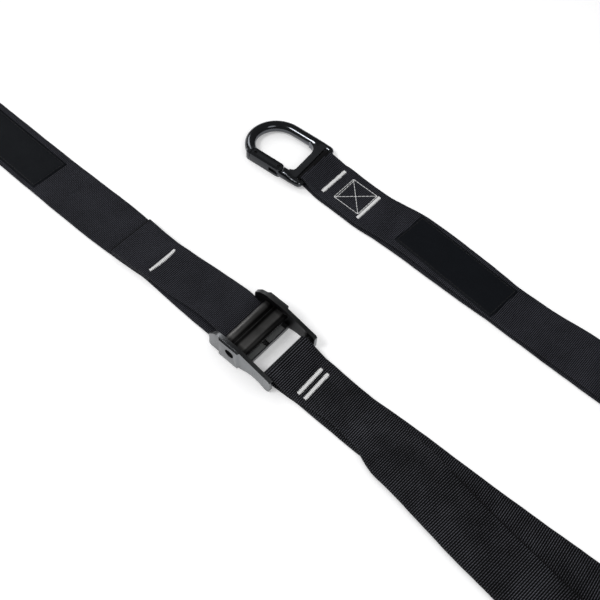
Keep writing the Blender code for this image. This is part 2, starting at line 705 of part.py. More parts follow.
def rounded_route(corners, fillets):
    """A plan route with its corners rounded, as points about one step apart."""
    points = [corners[0]]
    for index in range(1, len(corners) - 1):
        corner = Vector(corners[index])
        back = (Vector(corners[index - 1]) - corner).normalized()
        ahead = (Vector(corners[index + 1]) - corner).normalized()
        half = back.angle(ahead) / 2
        radius = fillets[index - 1]
        start = corner + back * (radius / math.tan(half))
        end = corner + ahead * (radius / math.tan(half))
        middle = corner + (back + ahead).normalized() * (radius / math.sin(half))
        points += run(points[-1], tuple(start), SWEEP_STEP)[1:]
        first = start - middle
        turn = first.angle_signed(end - middle)
        steps = max(3, math.ceil(abs(turn) * radius / (SWEEP_STEP * 0.6)))
        for step in range(1, steps + 1):
            spun = Matrix.Rotation(-turn * step / steps, 2) @ first
            points.append(tuple(middle + spun))
    points += run(points[-1], corners[-1], SWEEP_STEP)[1:]
    return points


def sweep():
    """Leg A from the neck, on its edge round the far side, and flat again; returns its length."""
    start_y = LEG_B_Y + LEG_A_OFFSET_Y
    corners = [(NECK_END_X + BUTT_GAP, start_y), (SWEEP_EAST_X, start_y), (SWEEP_EAST_X, SWEEP_EAST_Y),
               (SWEEP_NORTH_X, SWEEP_NORTH_Y), (SWEEP_WEST_X, SWEEP_WEST_Y),
               (SWEEP_WEST_X, LEG_A_FAR_Y), (SWEEP_END_X, LEG_A_FAR_Y)]
    fillets = (SWEEP_FILLET, SWEEP_FILLET_WIDE, SWEEP_FILLET_WIDE, SWEEP_FILLET_WIDE, SWEEP_FILLET)
    plan = rounded_route(corners, fillets)
    total = length_of([(x, y, 0.0) for x, y in plan])
    stations = []
    gone = 0.0
    for index, (x, y) in enumerate(plan):
        if index:
            gone += math.hypot(x - plan[index - 1][0], y - plan[index - 1][1])
        before = plan[max(0, index - 1)]
        after = plan[min(len(plan) - 1, index + 1)]
        heading = Vector((after[0] - before[0], after[1] - before[1], 0.0)).normalized()
        side = Vector((-heading.y, heading.x, 0.0))
        up_share = between(gone, TWIST_START, TWIST_START + TWIST_LENGTH)
        down_share = between(total - gone, TWIST_START, TWIST_START + TWIST_LENGTH)
        roll = math.pi / 2 * up_share * down_share
        base = mix(SWEEP_BASE_HIGH, SWEEP_BASE_LOW,
                   between(gone, SWEEP_DROP_START, SWEEP_DROP_START + SWEEP_DROP_LENGTH))
        rise = abs(math.sin(roll)) * WEB_WIDTH / 2 + abs(math.cos(roll)) * WEB_THICK / 2
        across = side * math.cos(roll) + Vector((0.0, 0.0, 1.0)) * math.sin(roll)
        stations.append((Vector((x, y, base + rise)), across, WEB_WIDTH))
    mesh_object("webbing_leg_a_sweep", ribbon_mesh("webbing_leg_a_sweep", stations), WEB_BLACK)
    return total


def flat_stations(profile, origin, sideways, width=WEB_WIDTH):
    """Stations of a band that runs along X: profile in X and height, sideways gives its Y."""
    across = Vector((0.0, 1.0, 0.0))
    return [(Vector((origin[0] + x, origin[1] + sideways(x, index), height)), across, width)
            for index, (x, height) in enumerate(profile)]


def buckle_webbing(name, origin, start_x, far_y):
    """The last stretch of a leg: under the base bar, back over it, and the hemmed tail on top."""
    radius = BASE_BAR_RADIUS + WEB_GAP + WEB_THICK / 2
    bar = (BASE_BAR_X, BASE_BAR_Z)
    low = (BASE_BAR_X, BASE_BAR_Z - radius)
    high = (BASE_BAR_X, BASE_BAR_Z + radius)
    hem = (LAYER_TOP_Z - LAYER_HIGH_Z) / 2
    lift_off = (2 * BASE_BAR_X + FRAME_LEFT, LAYER_LOW_Z)
    under = joined(run((start_x, LAYER_LOW_Z), lift_off, RUN_STEP), ease(lift_off, low, 4))
    over = joined(arc(bar, radius, -90.0, 90.0, 14), ease(high, (TAIL_SETTLE_X, TAIL_RISE_Z), 12),
                  run((TAIL_SETTLE_X, TAIL_RISE_Z), (TAIL_RISE_X, TAIL_RISE_Z)),
                  ease((TAIL_RISE_X, TAIL_RISE_Z), (TAIL_HEM_END + BUTT_GAP, LAYER_TOP_Z), 5),
                  run((TAIL_HEM_END, LAYER_TOP_Z), (TAIL_LEFT, LAYER_TOP_Z), HEM_STEP),
                  arc((TAIL_LEFT, LAYER_TOP_Z - hem), hem, 90.0, 270.0, 6),
                  run((TAIL_LEFT, LAYER_HIGH_Z), (TAIL_HEM_END, LAYER_HIGH_Z), HEM_STEP))
    profile = joined(under, over)
    turn_index = len(under)

    def sideways(x, index):
        if index < turn_index:
            return far_y * between(-x, -TAIL_RISE_X, -LEG_A_DRIFT_X)
        return TAIL_Y * between(-x, -FRAME_LEFT, -TAIL_SETTLE_X)

    mesh_object(name, ribbon_mesh(name, flat_stations(profile, origin, sideways)), WEB_BLACK)


def tack_mesh(origin, x, y, height, length=TACK_LENGTH):
    place = (origin[0] + x, origin[1] + y, height)
    return box_mesh("tack", place, (TACK_WIDTH, length, STITCH_THICK))


def buckle_trim(suffix, origin, label_x, label_y):
    over = WEB_THICK / 2 + STITCH_LIFT + STITCH_THICK / 2
    tail = tack_mesh(origin, TAIL_TACK_X, TAIL_Y, LAYER_TOP_Z + over, TAIL_TACK_LENGTH)
    mesh_object(f"tail_bar_tack_{suffix}", tail, THREAD_WHITE)
    label = box_mesh("label", (label_x, label_y, LAYER_LOW_Z + over + (LABEL_THICK - STITCH_THICK) / 2),
                     (LABEL_LENGTH, LABEL_WIDTH, LABEL_THICK))
    mesh_object(f"leg_label_{suffix}", label, LABEL_GREY)


def frame_outline():
    arch = []
    for step in range(11):
        share = step / 10
        arch.append((mix(ARCH_LEFT, ARCH_FOOT, share), ARCH_TOP * math.sin(math.pi * share) ** 0.8))
    arch[-1] = (ARCH_FOOT, 0.0)
    return [(FRAME_LEFT, FRAME_CORNER), (FRAME_LEFT + FRAME_CORNER, 0.0), *arch,
            (FRAME_RIGHT - FRAME_CORNER, 0.0), (FRAME_RIGHT, FRAME_CORNER),
            (FRAME_RIGHT, FRAME_REAR_TOP - FRAME_CORNER), (FRAME_RIGHT - FRAME_CORNER, FRAME_REAR_TOP),
            (FRAME_CREST_RIGHT, FRAME_TOP), (FRAME_CREST_LEFT, FRAME_TOP),
            (mix(FRAME_LEFT, FRAME_CREST_LEFT, 0.45), mix(FRAME_FRONT_TOP, FRAME_TOP, 0.7)),
            (FRAME_LEFT, FRAME_FRONT_TOP)]


def lever_outline():
    axle = (AXLE_X, AXLE_Z)
    loop = arc(axle, CAM_RADIUS, 240.0, 335.0, 8)
    loop += [(UNDER_X, UNDER_Z), (LIP_RIGHT, TIP_LOW_Z), (TIP_X, TIP_Z),
             (TIP_X - LEVER_ROUND, LIP_Z - LEVER_ROUND), (LIP_RIGHT, LIP_Z)]
    for step in range(7):
        share = step / 6
        depth = (LIP_Z - DISH_Z) * math.sin(math.pi * mix(0.14, 0.86, share)) ** 0.7
        loop.append((mix(LIP_RIGHT - LIP_FLAT, LIP_LEFT + LIP_FLAT, share), LIP_Z - depth))
    loop += [(LIP_LEFT, LIP_Z), (LIP_LEFT - 2 * LEVER_ROUND, LIP_Z - LIP_DROP),
             (GROOVE_RIGHT, GROOVE_Z + LEVER_ROUND), (GROOVE_RIGHT - LEVER_ROUND, GROOVE_Z),
             (GROOVE_LEFT, GROOVE_Z)]
    loop += arc((ROLL_X, ROLL_Z), ROLL_RADIUS, 40.0, 282.0, 18)
    tooth_x = ROLL_X + TOOTH_START
    for _ in range(3):
        loop += [(tooth_x, TOOTH_FLOOR_Z + TOOTH_DEPTH), (tooth_x + TOOTH_PITCH / 2, TOOTH_FLOOR_Z)]
        tooth_x += TOOTH_PITCH
    return loop


def moved(mesh, offset):
    mesh.transform(Matrix.Translation(offset))
    return mesh


def buckle(suffix, origin):
    """Frame with its bars, cam lever on its axle, and the lever's spring."""
    place = Vector((origin[0], origin[1], 0.0))
    plate_y = PLATE_INNER_HALF + PLATE_THICK / 2
    outline = frame_outline()
    near = outline_mesh("plate", [outline], PLATE_THICK / 2, True)
    frame = mesh_object(f"buckle_frame_{suffix}", moved(near, place - Vector((0, plate_y, 0))), GUNMETAL)
    far = outline_mesh("plate", [outline], PLATE_THICK / 2, True)
    cut(frame, moved(far, place + Vector((0, plate_y, 0))), "UNION")
    bar_length = 2 * plate_y + PLATE_THICK * 0.4
    bars = [rod_mesh("base_bar", (BASE_BAR_X, 0, BASE_BAR_Z), "Y", bar_length, BASE_BAR_RADIUS, 24),
            rod_mesh("end_bar", (END_BAR_X, 0, END_BAR_Z), "Y", bar_length, END_BAR_R, 28),
            box_mesh("mid_bar", (MID_BAR_X, 0, (MID_BAR_LOW + MID_BAR_HIGH) / 2),
                     (MID_BAR_LENGTH, bar_length, MID_BAR_HIGH - MID_BAR_LOW))]
    for sign in (-1, 1):
        bars.append(box_mesh("pad", (MID_BAR_X, sign * PAD_OFFSET, MID_BAR_HIGH),
                             (PAD_LENGTH, PAD_WIDTH, 2 * PAD_HEIGHT)))
        root_y = sign * (PLATE_INNER_HALF + PLATE_THICK - BLOCK_ROOT)
        face_y = sign * (PLATE_INNER_HALF + PLATE_THICK + BLOCK_PROUD)
        plan = [(BLOCK_LEFT - BLOCK_RAMP, root_y), (BLOCK_RIGHT + BLOCK_RAMP, root_y),
                (BLOCK_RIGHT, face_y), (BLOCK_LEFT + BLOCK_RAMP, face_y)]
        block = outline_mesh("block", [plan], (BLOCK_TOP - BLOCK_BOTTOM) / 2, False)
        bars.append(moved(block, Vector((0, 0, (BLOCK_TOP + BLOCK_BOTTOM) / 2))))
    for bar in bars:
        cut(frame, moved(bar, place), "UNION")
    outer = PLATE_INNER_HALF + PLATE_THICK + BLOCK_PROUD
    bore = rod_mesh("axle_bore", (AXLE_X, 0, AXLE_Z), "Y", 4 * outer, AXLE_RADIUS + PIN_CLEAR, 24)
    cut(frame, moved(bore, place))
    for sign in (-1, 1):
        socket = rod_mesh("socket", (AXLE_X, sign * outer, AXLE_Z), "Y", 2 * SOCKET_DEPTH,
                          SOCKET_RADIUS, 28)
        cut(frame, moved(socket, place))
    soften(frame, FRAME_EDGE)

    axle = Vector((origin[0] + AXLE_X, origin[1], AXLE_Z))
    lever_mesh = moved(outline_mesh("lever", [lever_outline()], LEVER_HALF, True), place)
    lever = mesh_object(f"cam_lever_{suffix}", lever_mesh, GUNMETAL, axle)
    bore = rod_mesh("lever_bore", (AXLE_X, 0, AXLE_Z), "Y", 4 * LEVER_HALF,
                    AXLE_RADIUS + LEVER_BORE_CLEAR, 24)
    cut(lever, moved(bore, place))
    pocket = rod_mesh("pocket", (AXLE_X, 0, AXLE_Z), "Y", 2 * POCKET_HALF, POCKET_RADIUS, 32)
    cut(lever, moved(pocket, place))
    slot = box_mesh("pocket_slot", (AXLE_X, 0, AXLE_Z - POCKET_RADIUS),
                    (2 * POCKET_RADIUS, 2 * POCKET_HALF, 2 * POCKET_RADIUS))
    cut(lever, moved(slot, place))

    pin_length = 2 * (outer - SOCKET_DEPTH) - 2 * PIN_CLEAR
    pin = rod_mesh("axle", (AXLE_X, 0, AXLE_Z), "Y", pin_length, AXLE_RADIUS, 24)
    mesh_object(f"cam_axle_{suffix}", moved(pin, place), PIN_STEEL, axle)

    coil = []
    start_y = -SPRING_TURNS * SPRING_PITCH / 2
    for step in range(SPRING_TURNS * 10 + 1):
        angle = 2 * math.pi * step / 10
        coil.append((AXLE_X + SPRING_RADIUS * math.sin(angle), start_y + SPRING_PITCH * step / 10,
                     AXLE_Z - SPRING_RADIUS * math.cos(angle)))
    foot = [(SPRING_FOOT_X, start_y, MID_BAR_HIGH + PAD_HEIGHT + SPRING_WIRE + PIN_CLEAR),
            (AXLE_X + SPRING_LEG, start_y, AXLE_Z - SPRING_RADIUS - SPRING_WIRE)]
    spring = wire_mesh("spring", foot + coil, SPRING_WIRE, None, 6)
    mesh_object(f"lever_spring_{suffix}", moved(spring, place), SPRING_STEEL, axle)


def least_gap(profile, thick):
    """Smallest free space between runs of a folded band that lie next to each other."""
    least = 1.0
    for index, (x, z) in enumerate(profile):
        gone = 0.0
        for other in range(index + 1, len(profile)):
            before = profile[other - 1]
            here = profile[other]
            gone += math.hypot(here[0] - before[0], here[1] - before[1])
            if gone < 3.0 * HANK_PITCH:
                continue
            least = min(least, math.hypot(here[0] - x, here[1] - z))
    return least - thick


def hank(leg_a_length):
    """Leg B: flat run, folds one above the other, and down to its buckle; returns the buckle's X."""
    neck_length = 2 * (NECK_END_X - BAR_X)
    first_flat = HANK_START_X - NECK_END_X
    fold = math.pi * HANK_PITCH / 2
    around = neck_length / 2 + first_flat + (HANK_RUNS - 1) * fold + HANK_DOWN + BUCKLE_LEAD
    run_length = (leg_a_length - around) / HANK_RUNS
    fold_right = HANK_START_X + run_length
    start_x = NECK_END_X + BUTT_GAP
    lift_off = (HANK_START_X - HANK_STEP, LAYER_LOW_Z)
    profile = joined(run((start_x, LAYER_LOW_Z), lift_off, RUN_STEP),
                     ease(lift_off, (HANK_START_X, HANK_BASE_Z), 5))
    height = HANK_BASE_Z
    for number in range(HANK_RUNS):
        rightward = number % 2 == 0
        near_x = HANK_START_X if rightward else fold_right
        far_x = fold_right if rightward else HANK_START_X
        profile = joined(profile, run((near_x, height), (far_x, height), FOLD_STEP))
        if number < HANK_RUNS - 1:
            swing = (-90.0, 90.0) if rightward else (270.0, 90.0)
            bend = (far_x, height + HANK_PITCH / 2)
            profile = joined(profile, arc(bend, HANK_PITCH / 2, swing[0], swing[1], 6))
            height += HANK_PITCH
    down_x = fold_right + HANK_DOWN
    profile = joined(profile, ease((fold_right, height), (down_x, LAYER_LOW_Z), 8))
    origin = (0.0, LEG_B_Y)
    gap = least_gap(profile, WEB_THICK)
    print(f"hank: {HANK_RUNS} runs of {run_length / MM:.1f} mm, least gap to itself {gap / MM:.2f} mm")
    stations = flat_stations(profile, origin, lambda x, index: 0.0)
    mesh_object("webbing_leg_b_hank", ribbon_mesh("webbing_leg_b_hank", stations), WEB_BLACK)
    keeper((HANK_START_X + fold_right) / 2, height)
    return down_x


def keeper(middle_x, top_layer_z):
    """An elastic band round the folded webbing."""
    inner_half = WEB_WIDTH / 2 + WEB_GAP
    low = HANK_BASE_Z - WEB_THICK / 2 - WEB_GAP
    high = top_layer_z + WEB_THICK / 2 + WEB_GAP
    loops = []
    for grow in (KEEPER_THICK, 0.0):
        corner = KEEPER_CORNER + grow
        half = inner_half + grow
        bottom = low - grow
        top = high + grow
        loop = arc((half - corner, bottom + corner), corner, -90.0, 0.0, 4)
        loop += arc((half - corner, top - corner), corner, 0.0, 90.0, 4)
        loop += arc((-half + corner, top - corner), corner, 90.0, 180.0, 4)
        loop += arc((-half + corner, bottom + corner), corner, 180.0, 270.0, 4)
        loops.append(loop)
    mesh = outline_mesh("keeper_band", loops, KEEPER_WIDTH / 2, True)
    mesh.transform(Matrix.Translation((middle_x, LEG_B_Y, 0.0)) @ Matrix.Rotation(math.pi / 2, 4, "Z"))
    mesh_object("keeper_band", mesh, KEEPER_BLACK)


def hermite(start, end, start_slope, end_slope, share):
    """A value between two ends that leaves and arrives at the slopes given."""
    square = share * share
    cube = square * share
    return ((2 * cube - 3 * square + 1) * start + (cube - 2 * square + share) * start_slope
            + (3 * square - 2 * cube) * end + (cube - square) * end_slope)


def leg_y(x, sign):
    """How far a handle leg lies across, at a place along X; the lower leg is the far one."""
    edge_y = PART_LOW_Y if sign > 0 else PART_TOP_Y
    slope = edge_y / (PART_EDGE_X - PART_X)
    loop_x = HANDLE_REACH - LOOP_TAB
    loop_y = HANDLE_Y + sign * LOOP_OFFSET
    if x <= PART_X:
        return 0.0
    if x <= PART_EDGE_X:
        share = (x - PART_X) / (PART_EDGE_X - PART_X)
        return hermite(0.0, edge_y, edge_y * 0.6, slope * (PART_EDGE_X - PART_X) * 1.2, share)
    if x <= loop_x:
        span = loop_x - PART_EDGE_X
        return hermite(edge_y, loop_y, slope * 1.2 * span, 0.0, (x - PART_EDGE_X) / span)
    return loop_y


def leg_height(x, sign):
    """The lower leg lies on the floor, the upper one on it until they part; both rise to the tab."""
    tab_x = HANDLE_REACH - LOOP_TAB
    tab_rise = between(x, tab_x - 3 * LOOP_JOIN, tab_x - LOOP_JOIN / 2)
    level = LAYER_LOW_Z
    if sign < 0:
        level = mix(LAYER_HIGH_Z, LAYER_LOW_Z, between(x, PART_END_X, PART_END_X + 2 * LOOP_JOIN))
    return mix(level, LAYER_HIGH_Z, tab_rise)


def leg_stations(origin, sign):
    """One leg from the buckle outwards, over the tube and back under itself to the tab's end."""
    stations = []
    steps = math.ceil((HANDLE_REACH - LOOP_JOIN - HANDLE_JOIN_X) / LEG_STEP)
    for step in range(steps + 1):
        x = mix(HANDLE_JOIN_X, HANDLE_REACH - LOOP_JOIN, step / steps)
        rise = leg_y(x + SLOPE_SAMPLE, sign) - leg_y(x - SLOPE_SAMPLE, sign)
        slope = rise / (2 * SLOPE_SAMPLE)
        across = Vector((-slope, 1.0, 0.0)).normalized()
        stations.append((Vector((x, leg_y(x, sign), leg_height(x, sign))), across, HANDLE_WEB_WIDTH))
    radius = TUBE_RADIUS + WEB_GAP + WEB_THICK / 2
    centre = (HANDLE_REACH, GRIP_RADIUS + FLOOR_GAP)
    start = (HANDLE_REACH - LOOP_JOIN, LAYER_HIGH_Z)
    end = (HANDLE_REACH - LOOP_JOIN, LAYER_LOW_Z)
    top = tangent_angle(start, centre, radius, -1)
    low = tangent_angle(end, centre, radius, 1)
    top = top % 360.0
    low = low % 360.0 - 360.0
    around = joined([start], arc(centre, radius, top, low, 26),
                    run(end, (HANDLE_REACH - LOOP_TAB, LAYER_LOW_Z), TAB_STEP))
    for x, height in around[1:]:
        stations.append((Vector((x, HANDLE_Y + sign * LOOP_OFFSET, height)), Vector((0, 1, 0)),
                         HANDLE_WEB_WIDTH))
    return [(centre_point + Vector((*origin, 0.0)), across, width)
            for centre_point, across, width in stations]


def handle(suffix, origin):
    radius = END_BAR_R + WEB_GAP + WEB_THICK / 2
    bar = (END_BAR_X, END_BAR_Z)
    top = tangent_angle((HANDLE_JOIN_X, LAYER_HIGH_Z), bar, radius, 1) % 360.0
    low = tangent_angle((HANDLE_JOIN_X, LAYER_LOW_Z), bar, radius, -1) % 360.0
    bend = [(Vector((origin[0] + x, origin[1], z)), Vector((0, 1, 0)), HANDLE_WEB_WIDTH)
            for x, z in arc(bar, radius, top, low, 18)]
    upper = leg_stations(origin, -1)
    lower = leg_stations(origin, 1)
    pivot = Vector((origin[0] + END_BAR_X, origin[1], END_BAR_Z))
    name = f"handle_webbing_{suffix}"
    mesh_object(name, ribbon_mesh(name, upper[::-1] + bend + lower), WEB_BLACK, pivot)

    over = WEB_THICK / 2 + STITCH_LIFT + STITCH_THICK / 2
    for number in range(2):
        tack = tack_mesh(origin, HANDLE_TACK_X + number * HANDLE_TACK_STEP, 0.0, LAYER_HIGH_Z + over)
        mesh_object(f"handle_bar_tack_{number + 1}_{suffix}", tack, THREAD_WHITE, pivot)
    for sign, place in ((-1, "near"), (1, "far")):
        tack = tack_mesh(origin, HANDLE_REACH - LOOP_TACK_BACK, HANDLE_Y + sign * LOOP_OFFSET,
                         LAYER_HIGH_Z + over)
        mesh_object(f"grip_loop_tack_{place}_{suffix}", tack, THREAD_WHITE, pivot)
    grip(suffix, Vector((origin[0] + HANDLE_REACH, origin[1] + HANDLE_Y, GRIP_RADIUS + FLOOR_GAP)))


def turned_mesh(name, outline, closed, steps=TURN_STEPS):
    """A turned piece about its own Z axis: the outline is (radius, height) from top to bottom."""
    bm = bmesh.new()
    verts = [bm.verts.new((radius, 0.0, height)) for radius, height in outline]
    for first, second in zip(verts, verts[1:]):
        bm.edges.new((first, second))
    if closed:
        bm.edges.new((verts[-1], verts[0]))
    mesh = bpy.data.meshes.new(name)
    bm.to_mesh(mesh)
    bm.free()
    holder = bpy.data.objects.new(f"{name}_outline", mesh)
    PARTS.objects.link(holder)
    screw = holder.modifiers.new("turn", "SCREW")
    screw.axis = "Z"
    screw.angle = 2 * math.pi
    screw.steps = steps
    screw.render_steps = steps
    screw.use_merge_vertices = True
    screw.merge_threshold = WELD_DISTANCE
    depsgraph = bpy.context.evaluated_depsgraph_get()
    made = bpy.data.meshes.new_from_object(holder.evaluated_get(depsgraph))
    bpy.data.objects.remove(holder, do_unlink=True)
    turned = bmesh.new()
    turned.from_mesh(made)
    return tidy(turned, name)


def across_mesh(mesh, place):
    mesh.transform(Matrix.Translation(place) @ Matrix.Rotation(-math.pi / 2, 4, "X"))
    return mesh


def grip(suffix, centre):
    """Core tube across the strap, foam grip on it, and a cap in each end."""
    foam_bore = TUBE_RADIUS + PIN_CLEAR
    foam = [(foam_bore, GRIP_HALF), (GRIP_RADIUS - GRIP_EDGE, GRIP_HALF),
            (GRIP_RADIUS, GRIP_HALF - GRIP_EDGE), (GRIP_RADIUS, -GRIP_HALF + GRIP_EDGE),
            (GRIP_RADIUS - GRIP_EDGE, -GRIP_HALF), (foam_bore, -GRIP_HALF)]
    mesh = across_mesh(turned_mesh("foam", foam, True), centre)
    mesh_object(f"foam_grip_{suffix}", mesh, FOAM, centre)
    tube = [(TUBE_BORE, TUBE_HALF), (TUBE_RADIUS, TUBE_HALF), (TUBE_RADIUS, -TUBE_HALF),
            (TUBE_BORE, -TUBE_HALF)]
    mesh = across_mesh(turned_mesh("tube", tube, True), centre)
    mesh_object(f"grip_tube_{suffix}", mesh, TUBE_GREY, centre)
    cap = [(0.0, CAP_FLANGE), (CAP_FLANGE_RADIUS - CAP_EDGE, CAP_FLANGE),
           (CAP_FLANGE_RADIUS, CAP_FLANGE - CAP_EDGE), (CAP_FLANGE_RADIUS, 0.0),
           (CAP_PLUG_RADIUS, 0.0), (CAP_PLUG_RADIUS, -CAP_PLUG_LENGTH), (0.0, -CAP_PLUG_LENGTH)]
    for sign, place in ((-1, "near"), (1, "far")):
        mesh = turned_mesh("cap", cap, False)
        if sign < 0:
            mesh.transform(Matrix.Rotation(math.pi, 4, "X"))
        seat = centre + Vector((0.0, sign * (TUBE_HALF + PIN_CLEAR), 0.0))
        mesh_object(f"end_cap_{place}_{suffix}", across_mesh(mesh, seat), CAP_BLACK, centre)


def centre_on_floor():
    """Moves the root so that the object's box stands on the floor with its middle at the origin."""
    low = Vector((1.0, 1.0, 1.0)) * 1000.0
    high = -low
    for item in PARTS.objects:
        if item.type != "MESH":
            continue
        for corner in item.bound_box:
            place = item.location + Vector(corner)
            low = Vector(map(min, low, place))
            high = Vector(map(max, high, place))
    ROOT.location = (-(low.x + high.x) / 2, -(low.y + high.y) / 2, -low.z)
    print(f"root moved by {ROOT.location.x:.6f} {ROOT.location.y:.6f} {ROOT.location.z:.6f}")
    print(f"size {high.x - low.x:.4f} {high.y - low.y:.4f} {high.z - low.z:.4f}")


def build():
    carabiner()
    neck()
    sweep_length = sweep()
    origin_a = (0.0, BUCKLE_A_Y)
    far_y = LEG_A_FAR_Y - BUCKLE_A_Y
    buckle_webbing("webbing_leg_a_end", origin_a, SWEEP_END_X + BUTT_GAP, far_y)
    buckle_trim("a", origin_a, LEG_LABEL_X, LEG_A_FAR_Y)
    leg_a_length = NECK_END_X - BAR_X + sweep_length - SWEEP_END_X
    down_x = hank(leg_a_length)
    origin_b = (down_x + BUCKLE_LEAD, LEG_B_Y)
    buckle_webbing("webbing_leg_b_end", origin_b, BUTT_GAP - BUCKLE_LEAD, 0.0)
    buckle_trim("b", origin_b, origin_b[0] + LEG_B_LABEL_X, LEG_B_Y)
    for suffix, origin in (("a", origin_a), ("b", origin_b)):
        buckle(suffix, origin)
        handle(suffix, origin)
    print(f"leg length {leg_a_length / MM:.0f} mm, second buckle at X {origin_b[0] / MM:.3f} mm")
    centre_on_floor()


build()
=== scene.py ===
"""Looks of the suspension trainer: webbing, stitching, castings and grips dressed over the frame."""

import math

import bmesh
import bpy
from mathutils import Matrix, Vector

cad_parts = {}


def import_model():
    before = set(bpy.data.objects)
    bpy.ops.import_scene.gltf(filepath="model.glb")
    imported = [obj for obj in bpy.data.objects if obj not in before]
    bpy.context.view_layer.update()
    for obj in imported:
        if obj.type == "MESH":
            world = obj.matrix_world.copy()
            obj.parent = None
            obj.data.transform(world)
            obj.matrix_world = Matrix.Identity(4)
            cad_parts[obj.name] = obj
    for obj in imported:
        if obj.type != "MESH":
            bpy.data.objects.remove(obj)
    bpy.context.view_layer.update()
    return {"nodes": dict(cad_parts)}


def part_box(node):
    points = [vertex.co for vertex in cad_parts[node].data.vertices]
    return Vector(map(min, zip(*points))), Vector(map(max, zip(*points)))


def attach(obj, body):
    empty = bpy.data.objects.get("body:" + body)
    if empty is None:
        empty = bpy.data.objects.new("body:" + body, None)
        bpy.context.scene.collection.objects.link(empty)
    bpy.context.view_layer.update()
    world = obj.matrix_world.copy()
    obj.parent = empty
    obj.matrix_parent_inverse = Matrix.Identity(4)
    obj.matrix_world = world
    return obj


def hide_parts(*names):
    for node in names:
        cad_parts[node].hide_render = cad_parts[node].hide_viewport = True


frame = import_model()
NODES = frame["nodes"]
MM = 0.001

# The drawing plane: millimetres, X along the straps and Y across them. Its zero in X is BUCKLE_REAR from
# the rear end of buckle A, whose middle line is at LEG_LINE.
BUCKLE_REAR = 23.5
LEG_LINE = -3.0
A_LOW, A_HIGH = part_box("buckle_frame_a")
B_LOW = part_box("buckle_frame_b")[0]
ORIGIN = Vector((A_LOW.x + BUCKLE_REAR * MM, (A_LOW.y + A_HIGH.y) / 2 - LEG_LINE * MM, 0.0))
B_X = (B_LOW.x - A_LOW.x) / MM
B_Y = (B_LOW.y - A_LOW.y) / MM
BUCKLES = {"a": (0.0, LEG_LINE), "b": (B_X, LEG_LINE + B_Y)}

# The camera fitted to the photo: pixels of the photo, millimetres and radians
PHOTO_SIDE = 600.0
FOCAL = 914.7
ORIGIN_PIXEL = (264.0, 340.0)
CAMERA_DISTANCE = 579.66
ELEVATION = math.radians(58.13)
AZIMUTH = math.radians(35.15)
ROLL = math.radians(7.23)
SENSOR = 36.0


def world(point):
    return ORIGIN + Vector(point) * MM


def aim_camera():
    """Looks so that the drawing plane's zero falls on its pixel of the photo."""
    forward = Vector((-math.sin(AZIMUTH) * math.cos(ELEVATION), math.cos(AZIMUTH) * math.cos(ELEVATION),
                      -math.sin(ELEVATION)))
    flat_right = Vector((math.cos(AZIMUTH), math.sin(AZIMUTH), 0.0))
    flat_up = flat_right.cross(forward)
    right = flat_right * math.cos(ROLL) + flat_up * math.sin(ROLL)
    up = -flat_right * math.sin(ROLL) + flat_up * math.cos(ROLL)
    aside = (ORIGIN_PIXEL[0] - PHOTO_SIDE / 2) / FOCAL
    below = (ORIGIN_PIXEL[1] - PHOTO_SIDE / 2) / FOCAL
    ray = forward + right * aside - up * below
    data = bpy.data.cameras.new("camera")
    data.sensor_width = SENSOR
    data.lens = FOCAL * SENSOR / PHOTO_SIDE
    data.clip_start = 0.01
    data.clip_end = 20.0
    camera = bpy.data.objects.new("camera", data)
    bpy.context.scene.collection.objects.link(camera)
    turned_view = Matrix((right, up, -forward)).transposed().to_4x4()
    camera.matrix_world = Matrix.Translation(world(-ray * CAMERA_DISTANCE)) @ turned_view
    bpy.context.scene.camera = camera


aim_camera()


